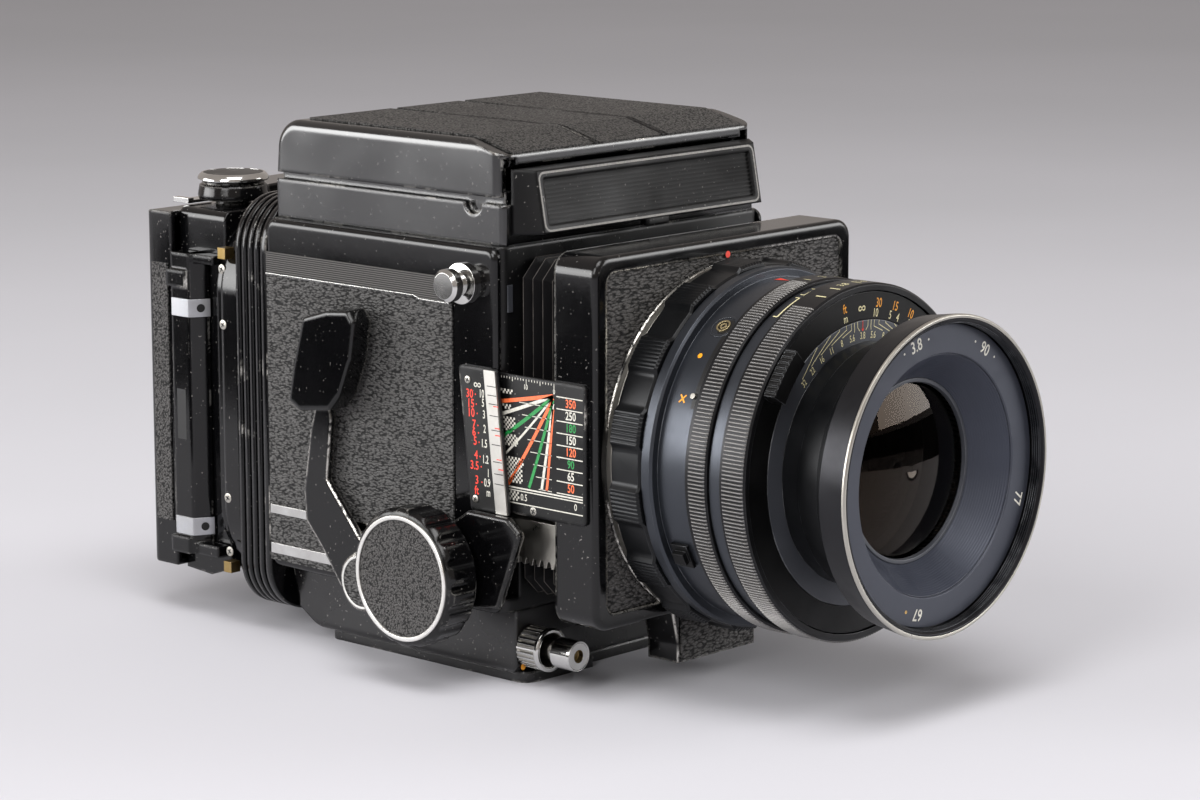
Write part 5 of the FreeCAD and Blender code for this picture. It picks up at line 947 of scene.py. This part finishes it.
for side, label in ((-1, "right"), (1, "left")):
    near = side * stripSet["face"]
    newPiece(label + "SidePlate", [platePart(stripSet["outline"], near, side * 52.62)], ribbedPlate, "camera_body")
    newPiece(label + "SidePlateLine", [barAlong(stripSet["line"], near, side * 52.8, 0.42)], chrome, "camera_body")
    newPiece(label + "SideBands", [platePart([(stripSet["bandRear"], low), (stripSet["bandRear"], high),
                                              (stripSet["bandFront"], high), (stripSet["bandFront"], low)],
                                             near, side * 52.72, 0.12) for low, high in stripSet["bands"]],
             chrome, "camera_body")
print("side plates")

# Bright rings round the leather inlays of the knobs and the cocking hub
knobSet = {"along": -18.2, "up": 29.9, "face": 69.0, "inner": 15.25, "outer": 16.4, "rise": 0.35}
rings = []
for side in (-1, 1):
    face = side * knobSet["face"]
    out = side * knobSet["rise"]
    rings.append(turnedPartX([(face - out, knobSet["inner"]), (face + out * 0.6, knobSet["inner"]),
                              (face + out, knobSet["inner"] + 0.2), (face + out, knobSet["outer"] - 0.25),
                              (face + out * 0.5, knobSet["outer"]), (face - out, knobSet["outer"])], 120,
                             (knobSet["along"], knobSet["up"])))
newPiece("knobRings", rings, whiteRing, "focus_drive", True)
hubSet = {"face": -57.7, "centre": (8.4, 22.7)}
for name, profile, steps, finish, slotName in (
        ("cockingHubRing", [(0.3, 6.5), (-0.28, 6.5), (-0.3, 7.1), (0.3, 7.2)], 80, whiteRing, "chrome"),
        ("cockingHubLeather", [(0.2, 0.02), (0.2, 6.5), (-0.22, 6.5), (-0.25, 0.02)], 60, bodyLeather, "leather")):
    newPiece(name, [turnedPartX(shifted(profile, hubSet["face"]), steps, hubSet["centre"])], finish, "cocking",
             True)
print("rings on the knobs")

# Release: fluted bright collar, countersunk tip and its dark thread
releaseSet = {"x": -40.0, "z": 10.0, "rear": -36.5, "front": -42.9, "root": 5.1, "tip": 5.62, "flutes": 26,
              "thread": -51.9, "pitch": 0.7, "turns": 6}
releaseCentre = (releaseSet["x"], releaseSet["z"])
flute = boxPart(-0.3, 0.3, releaseSet["front"], releaseSet["rear"], releaseSet["root"], releaseSet["tip"])
repeated("collarFlutes", flute, chrome, "release_lock", releaseSet["flutes"],
         (0, 2 * math.pi / releaseSet["flutes"], 0), (releaseSet["x"], 0, releaseSet["z"]))
collar = [(-43.75, 4.6), (-44.05, 4.7), (-44.05, 5.3), (-43.7, 5.75), (-42.8, 5.75), (-42.8, 4.9)]
newPiece("collarFace", [turnedPart(collar, 60, releaseCentre)], chrome, "release_lock", True)
countersink = [(-53.55, 3.7), (-53.55, 3.95), (-52.6, 4.05), (-51.5, 1.75), (-52.3, 1.75)]
newPiece("releaseCountersink", [turnedPart(countersink, 60, releaseCentre)], chrome, "release", True)
groove = [(0.0, 1.72), (0.2, 1.45), (0.45, 1.45), (0.65, 1.72)]
newPiece("releaseThread", [turnedPart(shifted(groove, releaseSet["thread"] + number * releaseSet["pitch"]), 32,
                                      releaseCentre) for number in range(releaseSet["turns"])],
         brass, "release", True)
printDisc(("orangePaint", "camera_body"), (-42.7, -36.24, 4.8), 0.85)
printDisc(redKey, (0.0, -68.74, 111.2), 0.9)
print("release")

# Lock bars with a slanted front, the bright tabs wrapped round them and the brass ends
barSet = {"inner": 46.3, "outer": 51.2, "corner": 82.4, "root": 79.6, "rear": 90.4, "low": 18.0, "high": 102.0,
          "levels": [86.9, 25.7], "half": 2.45, "proud": 0.5, "skin": 0.04}


def prismZ(outline, low, high):
    count = len(outline)
    points = [(x, y, z) for z in (low, high) for x, y in outline]
    return points, [tuple(range(count)), tuple(range(count, 2 * count))] + ringFaces(2, count)


def barSection(shape, side, outer):
    root, corner, rear, inner = (shape[key] for key in ("root", "corner", "rear", "inner"))
    return [(side * x, y) for x, y in ((inner, root), (outer - 0.4, corner - 0.2), (outer, corner + 0.5),
                                       (outer, rear - 0.7), (outer - 0.7, rear), (inner, rear))]


def tabSection(shape, side):
    root, corner, rear, inner = (shape[key] for key in ("root", "corner", "rear", "inner"))
    outer, more = shape["outer"], shape["proud"]
    return [(side * x, y) for x, y in (
        (inner, root + 0.1), (inner, root - more), (outer - 0.3, corner - 0.25 - more), (outer + 0.35, corner - 0.15),
        (outer + more, corner + 0.5), (outer + more, rear - 1.2), (outer - 0.1, rear - 1.2),
        (outer - 0.1, corner + 0.6), (outer - 0.5, corner))]


def sideBox(side, x0, x1, *rest):
    return boxPart(*sorted((side * x0, side * x1)), *rest)


for side, body, label in ((-1, "right_bar", "right"), (1, "left_bar", "left")):
    feet = [sideBox(side, barSet["inner"], 50.4, 73.3, barSet["rear"] - 6, low, high)
            for low, high in ((barSet["low"], 21.0), (99.6, barSet["high"]))]
    catches = [sideBox(side, 47.2, 52.0, 83.4, 91.0, low, low + 4.6) for low in (92.6, 17.9)]
    profile = prismZ(barSection(barSet, side, barSet["outer"]), barSet["low"], barSet["high"])
    bar = newPiece(label + "LockBar", [profile] + feet + catches, enamel, body)
    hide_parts(label + "_lock_bar")
    newPiece(label + "BarTabs", [prismZ(tabSection(barSet, side), up - barSet["half"], up + barSet["half"])
                                 for up in barSet["levels"]], satinPale, body, True)
    grip = barSection(barSet, side, barSet["outer"] + barSet["skin"])
    slant = (Vector((*grip[1], 0)) - Vector((*grip[0], 0))).normalized()
    facing = slant.cross(Vector((0, 0, 1))) * side
    # Painted shade: the dark discs on the tabs and the slot on the bar's outer face are painted near black
    for up in barSet["levels"]:
        centre = Vector((side * 48.7, barSet["root"] + 1.35 - barSet["proud"], up)) + facing * 0.12
        printDisc(("darkPaint", body), centre, 1.15, slant, (0, 0, 1), facing)
    slot = [(side * (barSet["outer"] + 0.02), y, z)
            for y, z in ((84.6, 50.0), (88.2, 50.0), (88.2, 64.0), (84.6, 64.0))]
    addPrint(("darkPaint", body), slot, [(0, 1, 2, 3)], (side, 0, 0))
    ends = [sideBox(side, 48.6, 51.9, 66.4, 69.4, up - 1.5, up + 1.5) for up in (103.6, 16.6)]
    newPiece(label + "BrassEnds", ends, brass, "revolving_back")
newPiece("magazineSmallLever", [boxPart(-41.0, -32.5, 93.6, 98.6, 113.9, 114.7),
                                boxPart(-41.6, -39.6, 92.9, 99.2, 114.0, 115.4)], chrome, "back_cover")

# Film dial on the magazine: bright rim round a black centre
dialSet = {"centre": (-31.0, 86.0), "low": 120.5, "high": 122.3, "outer": 9.75, "inner": 8.3}
low, high, outer, inner = (dialSet[key] for key in ("low", "high", "outer", "inner"))
dialRim = [(low, outer), (low + 0.3, outer + 0.15), (low + 0.9, outer + 0.05), (high - 0.2, outer - 0.5),
           (high + 0.15, outer - 0.95), (high + 0.2, inner), (high - 0.3, inner)]
dialFace = [(high - 0.4, 0.02), (high - 0.4, inner), (high + 0.1, inner - 0.05), (high + 0.25, 0.02)]
newPiece("dialRim", [turnedPartZ(dialRim, 96, dialSet["centre"])], chrome, "wind", True)
newPiece("dialCentre", [turnedPartZ(dialFace, 72, dialSet["centre"])], dialBlack, "wind", True)
print("magazine trim")


# Rounded ridge along a path on the lid
def ridgeAlong(path, width, height):
    points = []
    for index, place in enumerate(path):
        before = Vector(path[max(index - 1, 0)])
        after = Vector(path[min(index + 1, len(path) - 1)])
        ahead = (after - before).normalized()
        side = ahead.cross(Vector((0, 0, 1))).normalized()
        up = side.cross(ahead).normalized()
        points += [tuple(Vector(place) + side * across * width + up * rise * height)
                   for across, rise in ((-0.5, -0.4), (-0.34, 0.75), (0.0, 1.0), (0.34, 0.75), (0.5, -0.4))]
    ends = [(0, 1, 2, 3, 4), tuple(5 * (len(path) - 1) + n for n in range(5))]
    return points, ringFaces(len(path), 5) + ends


# Raised line round the centre panel of the lid
ridgeSet = {"half": 13.05, "front": -35.1, "bend": -22.0, "rear": 24.5, "corner": 3.0, "low": 138.05, "high": 141.5}
ridge = [(-ridgeSet["half"], ridgeSet["front"], ridgeSet["low"]),
         (-ridgeSet["half"], ridgeSet["bend"], ridgeSet["high"])]
for step in range(9):
    turn = math.pi / 2 * step / 8
    ridge.append((-ridgeSet["half"] + ridgeSet["corner"] * (1 - math.cos(turn)),
                  ridgeSet["rear"] - ridgeSet["corner"] * (1 - math.sin(turn)), ridgeSet["high"]))
ridge += [(-x, y, z) for x, y, z in reversed(ridge)]
newPiece("lidCentreLine", [ridgeAlong(ridge, 1.3, 0.55)], enamel, "lid", True)
print("lid trim")

for (paintName, body), parts in printed.items():
    newPiece(paintName + "_" + body, parts, paints[paintName], body, recalculate=False)
print("print", len(printed))


# Camera at the photograph's place
cameraSet = {"place": (-0.7346, -0.7097, 0.2539), "back": (-0.71866, -0.67104, 0.18224),
             "roll": -0.13, "lens": 115.27}
cameraData = bpy.data.cameras.new("photoCamera")
cameraData.lens = cameraSet["lens"]
cameraData.sensor_width = 36.0
cameraData.clip_start = 0.05
cameraObject = inScene("photoCamera", cameraData)
cameraTurn = Vector(cameraSet["back"]).to_track_quat("Z", "Y").to_matrix().to_4x4()
cameraObject.matrix_world = (Matrix.Translation(cameraSet["place"]) @ cameraTurn
                             @ Matrix.Rotation(math.radians(cameraSet["roll"]), 4, "Z"))
bpy.context.scene.camera = cameraObject

# Pale table and soft studio light
stageSet = {"half": 6.0, "floor": "#d6d4da", "cloud": "#cbcacf", "seen": "#b4aca7", "light": "#cfccc9",
            "strength": 0.52}
half = stageSet["half"]
floorMesh = bpy.data.meshes.new("paleFloor")
floorMesh.from_pydata([(-half, -half, 0), (half, -half, 0), (half, half, 0), (-half, half, 0)], [], [(0, 1, 2, 3)])
floorObject = inScene("paleFloor", floorMesh)
floorMaterial, floorTree, floorShader = newMaterial("paleTable", stageSet["floor"], 0.0, 0.72,
                                                    {"Specular IOR Level": 0.4})
floorCloud = addNode(floorTree, "ShaderNodeTexNoise", {},
                     {"Vector": objectPoint(floorTree), "Scale": 3.0, "Detail": 3.0, "Roughness": 0.5}, 0)
feed(floorTree, floorShader, addNode(floorTree, "ShaderNodeMix", {"data_type": "RGBA"},
                                     {0: floorCloud, 6: stageSet["floor"], 7: stageSet["cloud"]}, 2))
floorMesh.materials.append(floorMaterial)

world = bpy.data.worlds.new("studioWorld")
bpy.context.scene.world = world
world.use_nodes = True
worldTree = world.node_tree
backgroundNode = worldTree.nodes["Background"]
backgroundNode.inputs["Color"].default_value = linearColour(stageSet["light"])
backgroundNode.inputs["Strength"].default_value = stageSet["strength"]
seenNode = addNode(worldTree, "ShaderNodeBackground", {}, {"Color": stageSet["seen"], "Strength": 1.0})
rays = addNode(worldTree, "ShaderNodeLightPath")
seenRay = rays.outputs["Is Camera Ray"]
for ray in ("Is Glossy Ray", "Is Transmission Ray"):
    seenRay = addNode(worldTree, "ShaderNodeMath", {"operation": "MAXIMUM"}, (seenRay, rays.outputs[ray]), 0)
worldMix = addNode(worldTree, "ShaderNodeMixShader", {},
                   {0: seenRay, 1: backgroundNode.outputs[0], 2: seenNode.outputs[0]})
worldTree.links.new(worldMix.outputs[0], worldTree.nodes["World Output"].inputs["Surface"])

# Low black cards beside the table keep the upright gloss paint and the glass dark, as in the photo
cardSet = (((-0.27, -0.02), (-0.27, 0.36), 0.062), ((0.0, -0.64), (0.54, -0.1), 0.064))
cardPoints = [(*corner, z) for start, end, height in cardSet
              for corner, z in ((start, 0), (end, 0), (end, height), (start, height))]
cardMesh = bpy.data.meshes.new("blackCards")
cardMesh.from_pydata(cardPoints, [], [(0, 1, 2, 3), (4, 5, 6, 7)])
cardMesh.materials.append(newMaterial("blackCard", "#030303", 0.0, 0.9)[0])
cardObject = inScene("blackCards", cardMesh)
cardObject.visible_camera = cardObject.visible_shadow = cardObject.visible_diffuse = False

# Softboxes: place, target, width, height, power and spread in degrees
for name, place, target, width, height, power, spreadAngle in (
        ("keySoftbox", (-0.5, -0.6, 1.6), (0, 0, 0.06), 1.0, 1.0, 20, 180),
        ("leftRearSoftbox", (-1.3, 1.2, 0.35), (0, 0, 0.07), 1.4, 0.9, 8.5, 90),
        ("rightSoftbox", (1.28, -1.2, 0.5), (0, -0.05, 0.06), 0.9, 0.9, 4.5, 90),
        ("leftFrontSoftbox", (-1.5, -0.4, 0.9), (0, 0, 0.06), 0.7, 0.9, 3.5, 90)):
    lampData = bpy.data.lights.new(name, "AREA")
    lampData.shape = "RECTANGLE"
    lampData.size = width
    lampData.size_y = height
    lampData.energy = power
    lampData.spread = math.radians(spreadAngle)
    lamp = inScene(name, lampData)
    lamp.visible_camera = False
    direction = Vector(place) - Vector(target)
    lamp.matrix_world = Matrix.Translation(place) @ direction.to_track_quat("Z", "Y").to_matrix().to_4x4()

bpy.context.scene.view_settings.view_transform = "Standard"
